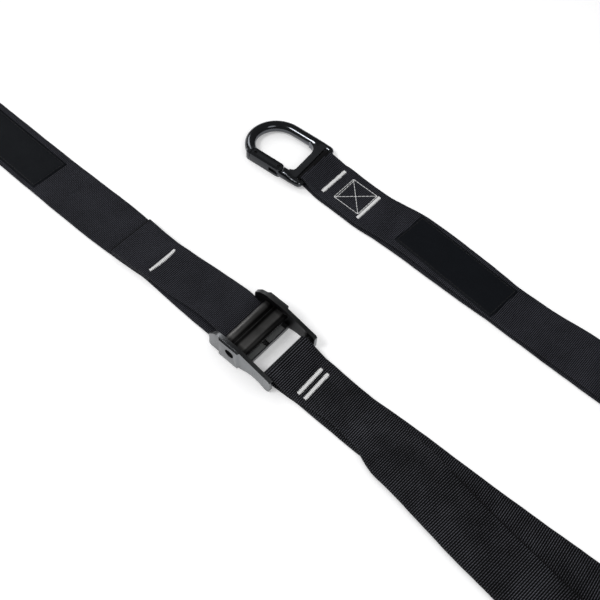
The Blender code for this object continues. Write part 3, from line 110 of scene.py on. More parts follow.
# Materials
class Shader:
    """A Principled material and short ways to feed it."""

    def __init__(self, name, colour, rough, metal=0.0, specular=0.5):
        self.mat = bpy.data.materials.new(name)
        self.mat.use_nodes = True
        self.tree = self.mat.node_tree
        self.bsdf = self.tree.nodes["Principled BSDF"]
        self.bsdf.inputs["Base Color"].default_value = (*colour, 1.0)
        self.feed("Roughness", rough)
        self.feed("Metallic", metal)
        self.feed("Specular IOR Level", specular)

    def node(self, kind, **values):
        made = self.tree.nodes.new(kind)
        for key, value in values.items():
            setattr(made, key, value)
        return made

    def link(self, out, into):
        self.tree.links.new(out, into)

    def value(self, source, into):
        if isinstance(source, (int, float)):
            into.default_value = source
        else:
            self.link(source, into)

    def feed(self, socket, source):
        self.value(source, self.bsdf.inputs[socket])

    def math(self, operation, first, second=0.0):
        made = self.node("ShaderNodeMath", operation=operation)
        self.value(first, made.inputs[0])
        self.value(second, made.inputs[1])
        return made.outputs[0]

    def blend(self, *parts):
        """The sum of (output, weight) pairs."""
        total = None
        for source, weight in parts:
            share = self.math("MULTIPLY", source, weight)
            total = share if total is None else self.math("ADD", total, share)
        return total

    def wave(self, source, pitch):
        return self.math("SINE", self.math("MULTIPLY", source, 2 * math.pi / pitch))

    def noise(self, scale, detail=3.0, rough=0.5):
        made = self.node("ShaderNodeTexNoise")
        made.inputs["Scale"].default_value = scale
        made.inputs["Detail"].default_value = detail
        made.inputs["Roughness"].default_value = rough
        self.link(self.place(), made.inputs["Vector"])
        return made.outputs["Fac"]

    def ramp(self, factor, stops):
        made = self.node("ShaderNodeValToRGB")
        while len(made.color_ramp.elements) < len(stops):
            made.color_ramp.elements.new(0.5)
        for element, (place, colour) in zip(made.color_ramp.elements, stops):
            element.position = place
            element.color = (*colour, 1.0)
        self.link(factor, made.inputs["Fac"])
        return made.outputs["Color"]

    def span(self, factor, low, high, out_low, out_high):
        made = self.node("ShaderNodeMapRange")
        self.value(factor, made.inputs["Value"])
        for key, value in (("From Min", low), ("From Max", high), ("To Min", out_low), ("To Max", out_high)):
            made.inputs[key].default_value = value
        return made.outputs["Result"]

    def bump(self, height, distance, strength=1.0, after=None):
        made = self.node("ShaderNodeBump")
        made.inputs["Distance"].default_value = distance * MM
        made.inputs["Strength"].default_value = strength
        self.link(height, made.inputs["Height"])
        if after is not None:
            self.link(after, made.inputs["Normal"])
        return made.outputs["Normal"]

    def place(self):
        return self.node("ShaderNodeTexCoord").outputs["Object"]

    def lay(self):
        """The lay map's millimetres: along the piece, then across it."""
        split = self.node("ShaderNodeSeparateXYZ")
        self.link(self.node("ShaderNodeUVMap", uv_map="lay").outputs["UV"], split.inputs[0])
        return split.outputs[0], split.outputs[1]


def times(colour, share):
    return [channel * share for channel in colour]


CORD_PITCH = 1.8
RIB_WANDER = 0.35


def webbing_material(name, pitch, depth, dark, light, rough, stops=(0.3, 0.6, 0.95)):
    """Ribbed nylon webbing: wandering ribs across the strap, cords along it and a faint twill."""
    s = Shader(name, dark, rough, specular=0.11)
    along, across = s.lay()
    wander = s.math("SUBTRACT", s.noise(900.0, 2.0), 0.5)
    shifted = s.math("ADD", along, s.math("MULTIPLY", wander, RIB_WANDER))
    crowns = s.math("ADD", s.math("MULTIPLY", s.wave(shifted, pitch), 0.5), 0.5)
    cord = s.math("ABSOLUTE", s.wave(across, CORD_PITCH))
    twill = s.math("SINE", s.blend((across, 2 * math.pi / CORD_PITCH), (along, math.pi / pitch)))
    weave = s.blend((crowns, 0.75), (cord, 0.17), (twill, 0.08))
    fuzz = s.noise(2600.0, 3.0, 0.6)
    patches = s.noise(45.0, 3.0, 0.55)
    tone = s.blend((weave, 0.75), (fuzz, 0.3), (patches, 0.25))
    s.feed("Base Color", s.ramp(tone, list(zip(stops, (times(dark, 0.3), dark, light)))))
    s.feed("Roughness", s.span(patches, 0.3, 0.7, rough - 0.05, rough + 0.08))
    s.feed("Normal", s.bump(weave, depth, 1.0, s.bump(fuzz, 0.08, 0.6)))
    s.feed("Sheen Weight", 0.03)
    s.feed("Sheen Roughness", 0.45)
    return s.mat


def with_painted_light(s, coat, painted_bands):
    """The coat with painted light and shade: painted shade in hollows and towards a lever's ends,
    painted highlights on its lit strips. A band is (millimetres along the lay map, share of the colour)."""
    along, across = s.lay()
    low, high = painted_bands[0][0], painted_bands[-1][0]
    stops = [((place - low) / (high - low), (level,) * 3) for place, level in painted_bands]
    painted_shade = s.node("ShaderNodeVectorMath", operation="MULTIPLY")
    s.link(coat, painted_shade.inputs[0])
    s.link(s.ramp(s.span(along, low, high, 0.0, 1.0), stops), painted_shade.inputs[1])
    # Painted shade towards the lever's rounded ends
    ends = s.node("ShaderNodeVectorMath", operation="SCALE")
    s.link(painted_shade.outputs[0], ends.inputs[0])
    s.link(s.span(s.math("ABSOLUTE", across), 15.4, 17.0, 1.0, 0.35), ends.inputs["Scale"])
    return ends.outputs[0]


def coat_material(name, colour, rough, metal, grain, painted_bands=None):
    """Painted or cast metal: fine grain, a little handling haze, paler where edges rub."""
    s = Shader(name, colour, rough, metal)
    haze = s.noise(60.0, 4.0, 0.6)
    fine = s.noise(1800.0, 3.0, 0.6)
    edge = s.span(s.node("ShaderNodeNewGeometry").outputs["Pointiness"], 0.52, 0.60, 0.0, 1.0)
    stops = [(0.15, times(colour, 0.8)), (0.45, colour), (1.0, times(colour, 1.9))]
    coat = s.ramp(s.blend((haze, 0.5), (edge, 0.5)), stops)
    # Painted bands, when given, lay painted light and shade over the coat
    s.feed("Base Color", with_painted_light(s, coat, painted_bands) if painted_bands else coat)
    s.feed("Roughness", s.span(haze, 0.3, 0.7, rough * 0.85, rough * 1.25))
    s.feed("Normal", s.bump(fine, grain, 0.5))
    return s.mat


def thread_material(name, colour):
    s = Shader(name, colour, 0.6, specular=0.3)
    fine = s.noise(3500.0, 2.0)
    s.feed("Base Color", s.ramp(fine, [(0.3, times(colour, 0.72)), (0.7, colour)]))
    s.feed("Normal", s.bump(fine, 0.08, 0.7))
    s.feed("Sheen Weight", 0.2)
    return s.mat


def label_material(name, colour):
    """Smooth damask patch: a very fine satin weave, darker and flatter than the webbing."""
    s = Shader(name, colour, 0.5, specular=0.08)
    along, across = s.lay()
    steps = s.math("SINE", s.blend((along, 2 * math.pi / 0.6), (across, 2 * math.pi / 1.3)))
    weave = s.blend((s.wave(across, 0.45), 0.3), (steps, 0.2))
    tone = s.math("ADD", s.blend((weave, 1.0), (s.noise(70.0, 3.0), 0.4)), 0.35)
    s.feed("Base Color", s.ramp(tone, [(0.1, times(colour, 0.7)), (0.9, times(colour, 1.25))]))
    s.feed("Normal", s.bump(weave, 0.06, 0.7))
    return s.mat


def foam_material(name, colour):
    """Closed foam: a skin of small cells over a coarser grain."""
    s = Shader(name, colour, 0.85, specular=0.3)
    cells = s.node("ShaderNodeTexVoronoi")
    cells.inputs["Scale"].default_value = 1100.0
    s.link(s.place(), cells.inputs["Vector"])
    grain = s.noise(500.0, 5.0, 0.7)
    s.feed("Base Color", s.ramp(grain, [(0.3, times(colour, 0.7)), (0.75, times(colour, 1.5))]))
    s.feed("Normal", s.bump(cells.outputs["Distance"], 0.2, 0.6, s.bump(grain, 0.4, 0.5)))
    return s.mat


WEBBING = webbing_material("webbing", 1.15, 0.26, (0.0022, 0.0024, 0.0036), (0.054, 0.056, 0.070), 0.5)
# A darker copy of the webbing for painted shade: the fold round the bar, the hems and a handle leg's edge
WEBBING_PAINTED_SHADE = webbing_material("webbing_painted_shade", 1.15, 0.16, (0.0010, 0.0010, 0.0013),
                                (0.009, 0.009, 0.011), 0.8)
WEBBING_RIB = webbing_material("webbing_ribbed", 1.39, 0.22, (0.0012, 0.0013, 0.0017),
                               (0.085, 0.088, 0.104), 0.5, (0.4, 0.76, 0.98))
THREAD = thread_material("thread", (0.90, 0.90, 0.90))
THREAD_DARK = thread_material("thread_dark", (0.006, 0.006, 0.007))
LABEL = label_material("label", (0.0060, 0.0072, 0.0095))
GLOSS = coat_material("gloss_black", (0.10, 0.105, 0.115), 0.13, 0.92, 0.015)
# A darker copy of the gloss: painted shade on the near flanks of the gate's rail
GLOSS_PAINTED_SHADE = coat_material("gloss_painted_shade", (0.034, 0.036, 0.040), 0.2, 0.92, 0.015)
GUNMETAL = coat_material("gunmetal", (0.145, 0.15, 0.156), 0.27, 0.95, 0.04)
# Darker copies of the gunmetal: painted shade between a buckle's plates, in its socket and atop the far plate
GUNMETAL_PAINTED_SHADE = coat_material("gunmetal_painted_shade", (0.022, 0.023, 0.025), 0.4, 0.9, 0.04)
GUNMETAL_TOP_PAINTED_SHADE = coat_material("gunmetal_top_painted_shade", (0.07, 0.072, 0.074), 0.35, 0.9, 0.04)
# A duller, less metallic grey: painted light on the mid bar's pads
PAD_PAINTED_LIGHT = coat_material("pad_painted_light", (0.15, 0.155, 0.155), 0.5, 0.3, 0.04)
# The lever's painted light and shade along it: lit roll top, shaded groove, lit plate, shade past the lip
ROLL_PAINTED_LIGHT = [(-14.7, 0.05), (-13.9, 0.12), (-13.3, 1.05), (-10.2, 0.95)]
GROOVE_PAINTED_SHADE = [(-9.3, 0.4), (-8.7, 0.07), (-4.5, 0.09), (-3.7, 0.6)]
PLATE_PAINTED_LIGHT = [(-3.0, 0.95), (0.6, 1.05), (1.3, 0.5), (1.8, 0.1), (6.0, 0.1)]
LEVER = coat_material("lever_black_painted_light", (0.15, 0.148, 0.146), 0.42, 0.9, 0.04,
                      ROLL_PAINTED_LIGHT + GROOVE_PAINTED_SHADE + PLATE_PAINTED_LIGHT)
PIN = coat_material("pin_black", (0.035, 0.035, 0.037), 0.3, 0.9, 0.02)
STEEL = coat_material("steel", (0.42, 0.42, 0.43), 0.3, 1.0, 0.02)
FOAM = foam_material("foam", (0.02, 0.02, 0.021))
PLASTIC = coat_material("cap_plastic", (0.018, 0.018, 0.019), 0.42, 0.0, 0.06)
TUBE = coat_material("tube_plastic", (0.09, 0.09, 0.09), 0.45, 0.0, 0.05)


# Drawing helpers
def mix(first, last, share):
    return first + (last - first) * share


def smooth(value):
    value = min(1.0, max(0.0, value))
    return value * value * (3.0 - 2.0 * value)


def between(value, low, high):
    return smooth((value - low) / (high - low))


def bridge(t, start, slope, end, end_slope=0.0):
    """A cubic over t from 0 to 1 that leaves and arrives with the slopes given."""
    t2 = t * t
    t3 = t2 * t
    return ((2 * t3 - 3 * t2 + 1) * start + (t3 - 2 * t2 + t) * slope + (3 * t2 - 2 * t3) * end
            + (t3 - t2) * end_slope)


def track(keys, x):
    """A soft curve through (place, value) keys."""
    if x <= keys[0][0]:
        return keys[0][1]
    for index in range(len(keys) - 1):
        (x0, y0), (x1, y1) = keys[index], keys[index + 1]
        if x <= x1:
            before = keys[max(0, index - 1)]
            after = keys[min(len(keys) - 1, index + 2)]
            slope = (y1 - before[1]) / (x1 - before[0]) * (x1 - x0)
            end_slope = (after[1] - y0) / (after[0] - x0) * (x1 - x0)
            return bridge((x - x0) / (x1 - x0), y0, slope, y1, end_slope)
    return keys[-1][1]


def distance(first, second):
    return math.hypot(second[0] - first[0], second[1] - first[1])


def arc(centre, radius, start, end, steps=12):
    """Points round a centre from one angle to another, in degrees."""
    angles = [math.radians(mix(start, end, n / steps)) for n in range(steps + 1)]
    return [(centre[0] + radius * math.cos(angle), centre[1] + radius * math.sin(angle)) for angle in angles]


def tangent_angle(point, centre, radius, side):
    """Where a straight line from the point touches the circle, in degrees."""
    towards = math.atan2(point[1] - centre[1], point[0] - centre[0])
    return math.degrees(towards + side * math.acos(radius / distance(centre, point)))


def run(start, end, step=3.0):
    count = max(1, math.ceil(distance(start, end) / step))
    return [(mix(start[0], end[0], n / count), mix(start[1], end[1], n / count)) for n in range(count + 1)]


def ease(start, end, step=3.0):
    """A run whose second coordinate leaves and arrives level."""
    count = max(4, math.ceil(distance(start, end) / step))
    return [(mix(start[0], end[0], n / count), mix(start[1], end[1], smooth(n / count)))
            for n in range(count + 1)]


NEAREST = 0.05


def joined(*pieces):
    """The pieces as one line, without points nearer than NEAREST to the one before."""
    points = []
    for piece in pieces:
        for point in piece:
            if not points or distance(points[-1], point) >= NEAREST:
                points.append(point)
    return points


def jitter(number):
    """A steady pseudo-random value from -1 to 1."""
    value = math.sin(number * 127.1 + 311.7) * 43758.5453
    return 2.0 * (value - math.floor(value)) - 1.0


def mesh_from(bm, name):
    """The working mesh as mesh data; it is freed."""
    mesh = bpy.data.meshes.new(name)
    bm.to_mesh(mesh)
    bm.free()
    return mesh


def add_piece(name, mesh, mat, body, nodes):
    """A shown piece that rides a body and takes the place of nodes of the frame."""
    obj = bpy.data.objects.new(name, mesh)
    bpy.context.scene.collection.objects.link(obj)
    mesh.materials.append(mat)
    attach(obj, body)
    if nodes:
        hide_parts(*nodes)
    return obj


# A strap's section: shares of its half width, and of its half thickness at each of them
ACROSS = (-1.0, -0.985, -0.95, -0.82, -0.6, -0.36, -0.12, 0.12, 0.36, 0.6, 0.82, 0.95, 0.985, 1.0)
TALL = (0.42, 0.8, 1.0, 0.99, 0.97, 0.97, 0.98, 0.98, 0.97, 0.97, 0.99, 1.0, 0.8, 0.42)
WEB = 1.6
LAY_HALF = 18.0


def strap_ring(bm, centre, along, across, width):
    """One section of a strap: over its top, then back underneath."""
    side = across.normalized()
    lift = along.cross(side).normalized()
    ring = []
    for sign in (1, -1):
        for share, tall in list(zip(ACROSS, TALL))[::sign]:
            place = centre + side * (share * width / 2) + lift * (sign * tall * WEB / 2)
            ring.append(bm.verts.new(world(place)))
    return ring


def uneven(gone, seed):
    """How a selvedge wanders along a strap: a slow and a quick wave."""
    return math.sin(gone * 0.19 + seed) + 0.6 * math.sin(gone * 0.47 + 2 * seed)


def strap_mesh(name, stations, wander, seed):
    """A closed band with rolled selvedges, laid out in millimetres along and across; and its length."""
    bm = bmesh.new()
    lay = bm.loops.layers.uv.new("lay")
    rings, runs = [], []
    gone = 0.0
    for index, (centre, across, width) in enumerate(stations):
        before = Vector(stations[max(0, index - 1)][0])
        after = Vector(stations[min(len(stations) - 1, index + 1)][0])
        gone += (Vector(centre) - before).length
        drawn = width + wander * uneven(gone, seed)
        rings.append(strap_ring(bm, Vector(centre), (after - before).normalized(), Vector(across), drawn))
        runs.append(gone)
    lays = [share * LAY_HALF for share in ACROSS + ACROSS[::-1]]
    for row in range(len(rings) - 1):
        for column in range(len(lays)):
            beside = (column + 1) % len(lays)
            spots = ((row, column), (row, beside), (row + 1, beside), (row + 1, column))
            face = bm.faces.new([rings[r][c] for r, c in spots])
            face.smooth = True
            for loop, (r, c) in zip(face.loops, spots):
                loop[lay].uv = (runs[r], lays[c])
    bm.faces.new(rings[0])
    bm.faces.new(rings[-1])
    bmesh.ops.recalc_face_normals(bm, faces=bm.faces)
    return mesh_from(bm, name), gone


def strap(name, stations, mat, nodes, body="straps", wander=0.12, seed=0.0, painted_shade=None):
    """Webbing along its stations, each a (centre, across direction, width). Painted shade tells from a place
    in millimetres whether the cloth there takes the darker webbing, as painted shade."""
    mesh, length = strap_mesh(name, stations, wander, seed)
    obj = add_piece(name, mesh, mat, body, nodes)
    if painted_shade:
        mesh.materials.append(WEBBING_PAINTED_SHADE)
        for polygon in mesh.polygons:
            if painted_shade((polygon.center - ORIGIN) / MM):
                polygon.material_index = 1


def threads(name, splines, radius, mat, nodes=(), body="straps"):
    """Stitches: round threads along short runs of points, in millimetres."""
    curve = bpy.data.curves.new(name, "CURVE")
    curve.dimensions = "3D"
    curve.bevel_depth = radius * MM
    curve.bevel_resolution = 2
    curve.use_fill_caps = True
    for points in splines:
        spline = curve.splines.new("POLY")
        spline.points.add(len(points) - 1)
        for target, point in zip(spline.points, points):
            target.co = (*world(point), 1.0)
    holder = bpy.data.objects.new(f"{name}_line", curve)
    bpy.context.scene.collection.objects.link(holder)
    mesh = bpy.data.meshes.new_from_object(holder.evaluated_get(bpy.context.evaluated_depsgraph_get()))
    bpy.data.objects.remove(holder)
    bpy.data.curves.remove(curve)
    mesh.materials.clear()
    mesh.polygons.foreach_set("use_smooth", [True] * len(mesh.polygons))
    add_piece(name, mesh, mat, body, nodes)


# A bar tack's thread: its radius, how far it dips into the webbing and how far it stands over it
TACK_THREAD = 0.27
TACK_DIP = -0.14
TACK_RISE = 0.24


def bar_tack(name, middle, length, nodes, body="straps", turn=0.0, width=3.0, pitch=0.72, bow=0.0):
    """A dense zigzag across a short bar, over two straight ground threads."""
    x, y, z = middle
    seed = x * 0.37 + y * 0.11
    cos, sin = math.cos(turn), math.sin(turn)

    def put(u, v, lift):
        u += bow * (1.0 - (2.0 * v / length) ** 2)
        return (x + u * cos - v * sin, y + u * sin + v * cos, z + lift)

    zigzag = []
    for n in range(int(length / pitch) + 1):
        v = -length / 2 + n * pitch
        side = 1 if n % 2 else -1
        reach = side * width / 2 * (1.0 + 0.16 * jitter(n + seed))
        slip = 0.08 * jitter(n + seed + 9)
        zigzag.append(put(-reach, v - pitch * 0.3 + slip, TACK_DIP))
        zigzag.append(put(0.0, v, TACK_RISE + 0.05 * jitter(n + seed + 4)))
        zigzag.append(put(reach, v + pitch * 0.3, TACK_DIP))
    ground = [[put(u, side * (length / 2 + over), lift)
               for side, over, lift in ((-1, 0.4, -0.1), (-1, -0.8, 0.12), (1, -0.8, 0.12), (1, 0.4, -0.1))]
              for u in (-width * 0.22, width * 0.22)]
    threads(name, [zigzag, *ground], TACK_THREAD, THREAD, nodes, body)


def dashes(points, step, gap, z, dip=0.22):
    """Straight stitches along a line, each dipping into the webbing at both ends."""
    made = []
    half_gap = gap / (step + gap) / 2
    for first, second in zip(points, points[1:]):
        count = max(1, round(distance(first, second) / (step + gap)))
        for n in range(count):
            start, end = (n + half_gap) / count, (n + 1 - half_gap) / count
            stitch = []
            for share, height in ((0.0, z - dip), (0.2, z), (0.8, z), (1.0, z - dip)):
                t = mix(start, end, share)
                stitch.append((mix(first[0], second[0], t), mix(first[1], second[1], t), height))
            made.append(stitch)
    return made


# Webbing
# Levels of its middle: on the floor, on one layer and on two
LOW, HIGH, TOP = 0.9, 2.85, 4.8
# Between a bar and the webbing round it, and between the stretches of one strap
FOLD_GAP = 0.35
CUT = 0.3
# The end of the neck, its line across, the end of the long run, and leg B's start from its buckle
NECK_END = 185.0
NECK_LINE = 129.0
SWEEP_END = -305.0
LEG_B_START = -232.0


def fold_radius(bar):
    """From a bar's middle to the middle of the webbing that is folded round it."""
    return bar + FOLD_GAP + WEB / 2


# The carabiner's end bar: its middle, radius and turn from the straps' crosswise line
BAR = Vector((-66.3, 127.0, 4.0))
BAR_RADIUS = 1.9
BAR_TURN = math.radians(5.0)
BAR_ACROSS = Vector((-math.sin(BAR_TURN), math.cos(BAR_TURN), 0.0))
NECK_JOIN = -53.0
NECK_FOLD = BAR.x - 0.6
NECK_UPPER = [(-57, 127.0), (-48, 127.2), (-30, 126.7), (-12, 126.8), (0, 128.5), (20, 130.6), (60, 129.75),
              (86, 128.7), (98, 128.2), (113, 128.3), (126, 128.6), (139, 129.2), (152, 129.9),
              (165, 130.2), (186, 130.0)]
NECK_LOWER = [(-57, 126.8), (-48, 126.5), (-30, 126.1), (-12, 126.0), (0, 127.3), (20, 128.6), (60, 128.4),
              (98, 127.9), (116, 127.65), (134, 127.95), (147, 128.6), (160, 129.0), (172, 129.0),
              (186, 129.0)]
NECK_WIDE = [(-66, 33.0), (-56, 34.5), (-48, 35.4), (-30, 34.8), (0, 35.2), (20, 36.4), (60, 36.1),
             (86, 34.6), (98, 33.6), (113, 33.7), (126, 34.0), (139, 35.2), (152, 36.6), (165, 37.0),
             (186, 36.4)]
LOWER_WIDER = 0.8


def neck():
    """The strap folded round the carabiner's end bar, both layers running off along X."""
    radius = fold_radius(BAR_RADIUS)
    centre = (NECK_FOLD, BAR.z)
    top = tangent_angle((NECK_JOIN, HIGH), centre, radius, 1)
    low = 360.0 + tangent_angle((NECK_JOIN, LOW), centre, radius, -1)
    behind = (top + low) / 2
    over = joined(run((NECK_END, HIGH), (NECK_JOIN, HIGH), 2.5), arc(centre, radius, top, behind))
    under = joined(arc(centre, radius, behind, low), run((NECK_JOIN, LOW), (NECK_END, LOW), 2.5))
    stations = []
    for points, middle, wider in ((over, NECK_UPPER, 0.0), (under[1:], NECK_LOWER, LOWER_WIDER)):
        for x, z in points:
            share = between(x, BAR.x, BAR.x + 12.0)
            bar_y = BAR.y + (x - BAR.x) * math.sin(BAR_TURN)
            y = mix(bar_y, track(middle, x), between(x, BAR.x - 1.0, BAR.x + 14.0))
            width = track(NECK_WIDE, x) + wider * share
            stations.append(((x, y, z), BAR_ACROSS.lerp(Vector((0, 1, 0)), share), width))
    # Painted shade: past the bar's middle the fold round the carabiner's bar takes the darker webbing
    strap("neck_webbing", stations, WEBBING, ["webbing_neck"], painted_shade=lambda place: place.x < NECK_FOLD)


def rounded_route(corners, fillets, step=5.0):
    """A route through corners on the floor plane, each rounded with its own radius."""
    points = [corners[0]]
    for index in range(1, len(corners) - 1):
        corner = Vector(corners[index])
        back = (Vector(corners[index - 1]) - corner).normalized()
        ahead = (Vector(corners[index + 1]) - corner).normalized()
        half, radius = back.angle(ahead) / 2, fillets[index - 1]
        start = corner + back * (radius / math.tan(half))
        end = corner + ahead * (radius / math.tan(half))
        middle = corner + (back + ahead).normalized() * (radius / math.sin(half))
        points += run(points[-1], tuple(start), step)[1:]
        first = start - middle
        turn = first.angle_signed(end - middle)
        steps = max(3, math.ceil(abs(turn) * radius / step))
        for n in range(1, steps + 1):
            points.append(tuple(middle + Matrix.Rotation(-turn * n / steps, 2) @ first))
    return points + run(points[-1], corners[-1], step)[1:]


SWEEP_CORNERS = [(NECK_END + CUT, 130.0), (292.0, 130.0), (292.0, 228.0), (-30.0, 530.0), (-420.0, 110.0),
                 (-420.0, -6.0), (SWEEP_END, -6.0)]
SWEEP_FILLETS = (52.0, 75.0, 75.0, 75.0, 52.0)
SWEEP_WIDE = 36.4
SWEEP_HALF = 18.75
SWEEP_TWIST = 80.0


def sweep():
    """The first leg's long run: it rolls onto its edge, rounds the bend and lies down again."""
    plan = rounded_route(SWEEP_CORNERS, SWEEP_FILLETS)
    steps = [0.0] + [distance(first, second) for first, second in zip(plan, plan[1:])]
    total, gone = sum(steps), 0.0
    stations = []
    for index, (x, y) in enumerate(plan):
        gone += steps[index]
        before, after = plan[max(0, index - 1)], plan[min(len(plan) - 1, index + 1)]
        heading = Vector((after[0] - before[0], after[1] - before[1], 0.0)).normalized()
        roll = math.pi / 2 * between(gone, 2.0, SWEEP_TWIST) * between(total - gone, 2.0, SWEEP_TWIST)
        base = mix(HIGH, LOW, between(gone, 95.0, 215.0)) - WEB / 2
        rise = abs(math.sin(roll)) * SWEEP_HALF + abs(math.cos(roll)) * WEB / 2
        across = Vector((-heading.y, heading.x, 0.0)) * math.cos(roll) + Vector((0, 0, 1)) * math.sin(roll)
        stations.append(((x, y, base + rise), across, SWEEP_WIDE))
    strap("sweep_webbing", stations, WEBBING, ["webbing_leg_a_sweep"])


# The buckle ends of the legs, from each buckle's middle: where they start, their middle lines below and
# in the tail, counted from the drawing plane's line, and their widths
LEG_FROM = {"a": SWEEP_END + CUT, "b": LEG_B_START + CUT}
UNDER_MID = {"a": [(-305, -6.0), (-280, -5.6), (-260, -5.45), (-200, -5.3), (-165, -4.9), (-150, -4.6),
                   (-127, -4.15), (-113, -4.05), (-100, -4.0), (-88, -3.5), (-75, -3.45), (-60, -3.6),
                   (-46, -3.3), (-30, -3.15), (-7, -2.6)],
             "b": [(-232, -3.0), (-7, -3.0)]}
UNDER_WIDE = {"a": [(-305, 36.6), (-280, 37.2), (-200, 37.4), (-165, 38.0), (-150, 38.2), (-127, 37.7),
                    (-113, 35.9), (-100, 34.2), (-88, 33.2), (-75, 33.7), (-60, 34.8), (-46, 35.8),
                    (-30, 36.3), (-7, 36.6)],
              "b": [(-60, 36.2), (-24, 36.6), (-7, 36.6)]}
TAIL_MID = {"a": [(-117, -4.05), (-100, -3.9), (-88, -3.3), (-76, -2.45), (-58, -0.4), (-42, 0.6), (-28, 0.2),
                  (-16, -1.9), (-7, -2.6), (-3, -2.6)],
            "b": [(-117, -2.2), (-60, -1.6), (-20, -2.4), (-7, -3.0), (-3, -3.0)]}
TAIL_WIDE = [(-117, 35.9), (-100, 34.0), (-88, 33.0), (-76, 34.1), (-66, 34.6), (-44, 34.2), (-26, 35.0),
             (-7, 36.2)]
BASE_BAR = (-7.0, 4.2)
BASE_BAR_RADIUS = 1.85
UNDER_RISE = -37.5
# The tail, from the bar: it lies on the leg for a little way, then rises onto its own folded hem
TAIL_DOWN = (-60.0, 3.0)
TAIL_UP = (-66.0, 3.0)
HEM_START = -83.0
HEM_END = -116.0


def buckle_strap(which):
    """The leg under and over the base bar and back as the hemmed tail."""
    ox, oy = BUCKLES[which]
    bar_x, bar_z = BASE_BAR
    radius, hem = fold_radius(BASE_BAR_RADIUS), (TOP - HIGH) / 2
    under = joined(run((LEG_FROM[which], LOW), (UNDER_RISE, LOW)),
                   ease((UNDER_RISE, LOW), (bar_x, bar_z - radius), 2.5))
    over = joined(arc(BASE_BAR, radius, -90.0, 90.0, 18), ease((bar_x, bar_z + radius), TAIL_DOWN, 2.5),
                  run(TAIL_DOWN, TAIL_UP, 2.0), ease(TAIL_UP, (HEM_START + 0.3, TOP), 2.0),
                  run((HEM_START, TOP), (HEM_END, TOP), 2.0), arc((HEM_END, TOP - hem), hem, 90.0, 270.0, 8),
                  run((HEM_END, HIGH), (HEM_START, HIGH), 2.0))
    stations = []
    for points, middle, wide in ((under, UNDER_MID, UNDER_WIDE[which]), (over[1:], TAIL_MID, TAIL_WIDE)):
        for x, z in points:
            y = oy - LEG_LINE + track(middle[which], x)
            stations.append(((ox + x, y, z), (0, 1, 0), track(wide, x)))
    # Painted shade: the outer side of the hem's fold at the tail's end takes the darker webbing
    strap(f"leg_{which}_strap", stations, WEBBING, [f"webbing_leg_{which}_end"], seed=2.0,
          painted_shade=lambda place: place.x < ox + HEM_END - 0.1 and place.z > HIGH)


# Leg B's folds: their left end, the way down after them, their number and pitch, and the lowest level
HANK_START = 325.0
HANK_DOWN = 62.0
HANK_LAYERS = 9
HANK_PITCH = 2.4
HANK_HEIGHT = 3.4
HANK_WIDE = 36.6


def hank():
    """Leg B laid in flat folds under the keeper band, then down to its buckle."""
    right = B_X + LEG_B_START - HANK_DOWN
    height = HANK_HEIGHT
    profile = joined(run((NECK_END + CUT, LOW), (HANK_START - 25.0, LOW), 5.0),
                     ease((HANK_START - 25.0, LOW), (HANK_START, height)))
    for number in range(HANK_LAYERS):
        out = number % 2 == 0
        near, far = (HANK_START, right) if out else (right, HANK_START)
        profile = joined(profile, run((near, height), (far, height), 6.0))
        if number < HANK_LAYERS - 1:
            swing = (-90.0, 90.0) if out else (270.0, 90.0)
            profile = joined(profile, arc((far, height + HANK_PITCH / 2), HANK_PITCH / 2, *swing, 8))
            height += HANK_PITCH
    profile = joined(profile, ease((right, height), (right + HANK_DOWN, LOW)))
    stations = [((x, NECK_LINE, z), (0, 1, 0), HANK_WIDE) for x, z in profile]
    strap("hank_webbing", stations, WEBBING, ["webbing_leg_b_hank"])


# A handle, from its buckle's middle: the grip's line and height, the two loops' reach to either side,
# and where a leg of the strap starts, meets its loop and lies under it
REACH = 560.0
GRIP_LINE = -9.0
GRIP_HEIGHT = 16.6
TUBE_RADIUS = 11.0
LOOP_SPREAD = 83.0
LEG_START = 38.0
LOOP_START = REACH - 30.0
LOOP_TAB = REACH - 52.0
END_BAR = (22.0, 5.8)
END_BAR_RADIUS = 2.6
HANDLE_WIDE = 36.4

# The near leg is -1 and the far leg 1: middle line, width and slope where the photo ends
LEG_MID = {-1: [(38, 1.0), (46, 1.3), (60, 2.1), (75, 2.1), (82, 1.6), (89, 1.4), (96, -0.6), (107, -2.9),
                (120, -3.9), (134, -5.5), (150, -7.7), (173, -10.7), (200, -13.3), (240, -17.0)],
           1: [(38, 0.8), (46, 1.1), (60, 1.0), (75, 1.0), (86, 1.35), (100, 2.1), (120, 3.0), (160, 4.4),
               (200, 6.4), (240, 8.9)]}
LEG_WIDE = {-1: [(38, 35.2), (46, 34.2), (60, 31.4), (75, 30.6), (82, 31.4), (89, 31.6), (96, 33.0),
                 (107, 35.4), (118, 36.0)],
            1: [(38, 35.4), (46, 34.6), (60, 34.6), (75, 34.6), (86, 35.3), (100, 36.0)]}
LEG_SLOPE = {-1: -0.09, 1: 0.045}
# The near leg tilts from its kink on, lies on the far one until it comes apart, and both rise to their loops
LEG_TILT = {-1: 0.06, 1: 0.0}
LEG_HALF = 18.0
TILT_STARTS = (98.0, 135.0)
TILT_ENDS = (280.0, 330.0)
COMES_APART = (330.0, 390.0)
TAB_RISES = (REACH - 142.0, REACH - 67.0)
# Where the weave turns with the leg's bend, and where a painted shadow darkens the near leg's far edge
TURNS_ALONG = (45.0, 190.0)
PAINTED_SHADOW_FROM, PAINTED_SHADOW_TO = 140.0, 330.0
PAINTED_SHADOW_ACROSS = 17.0


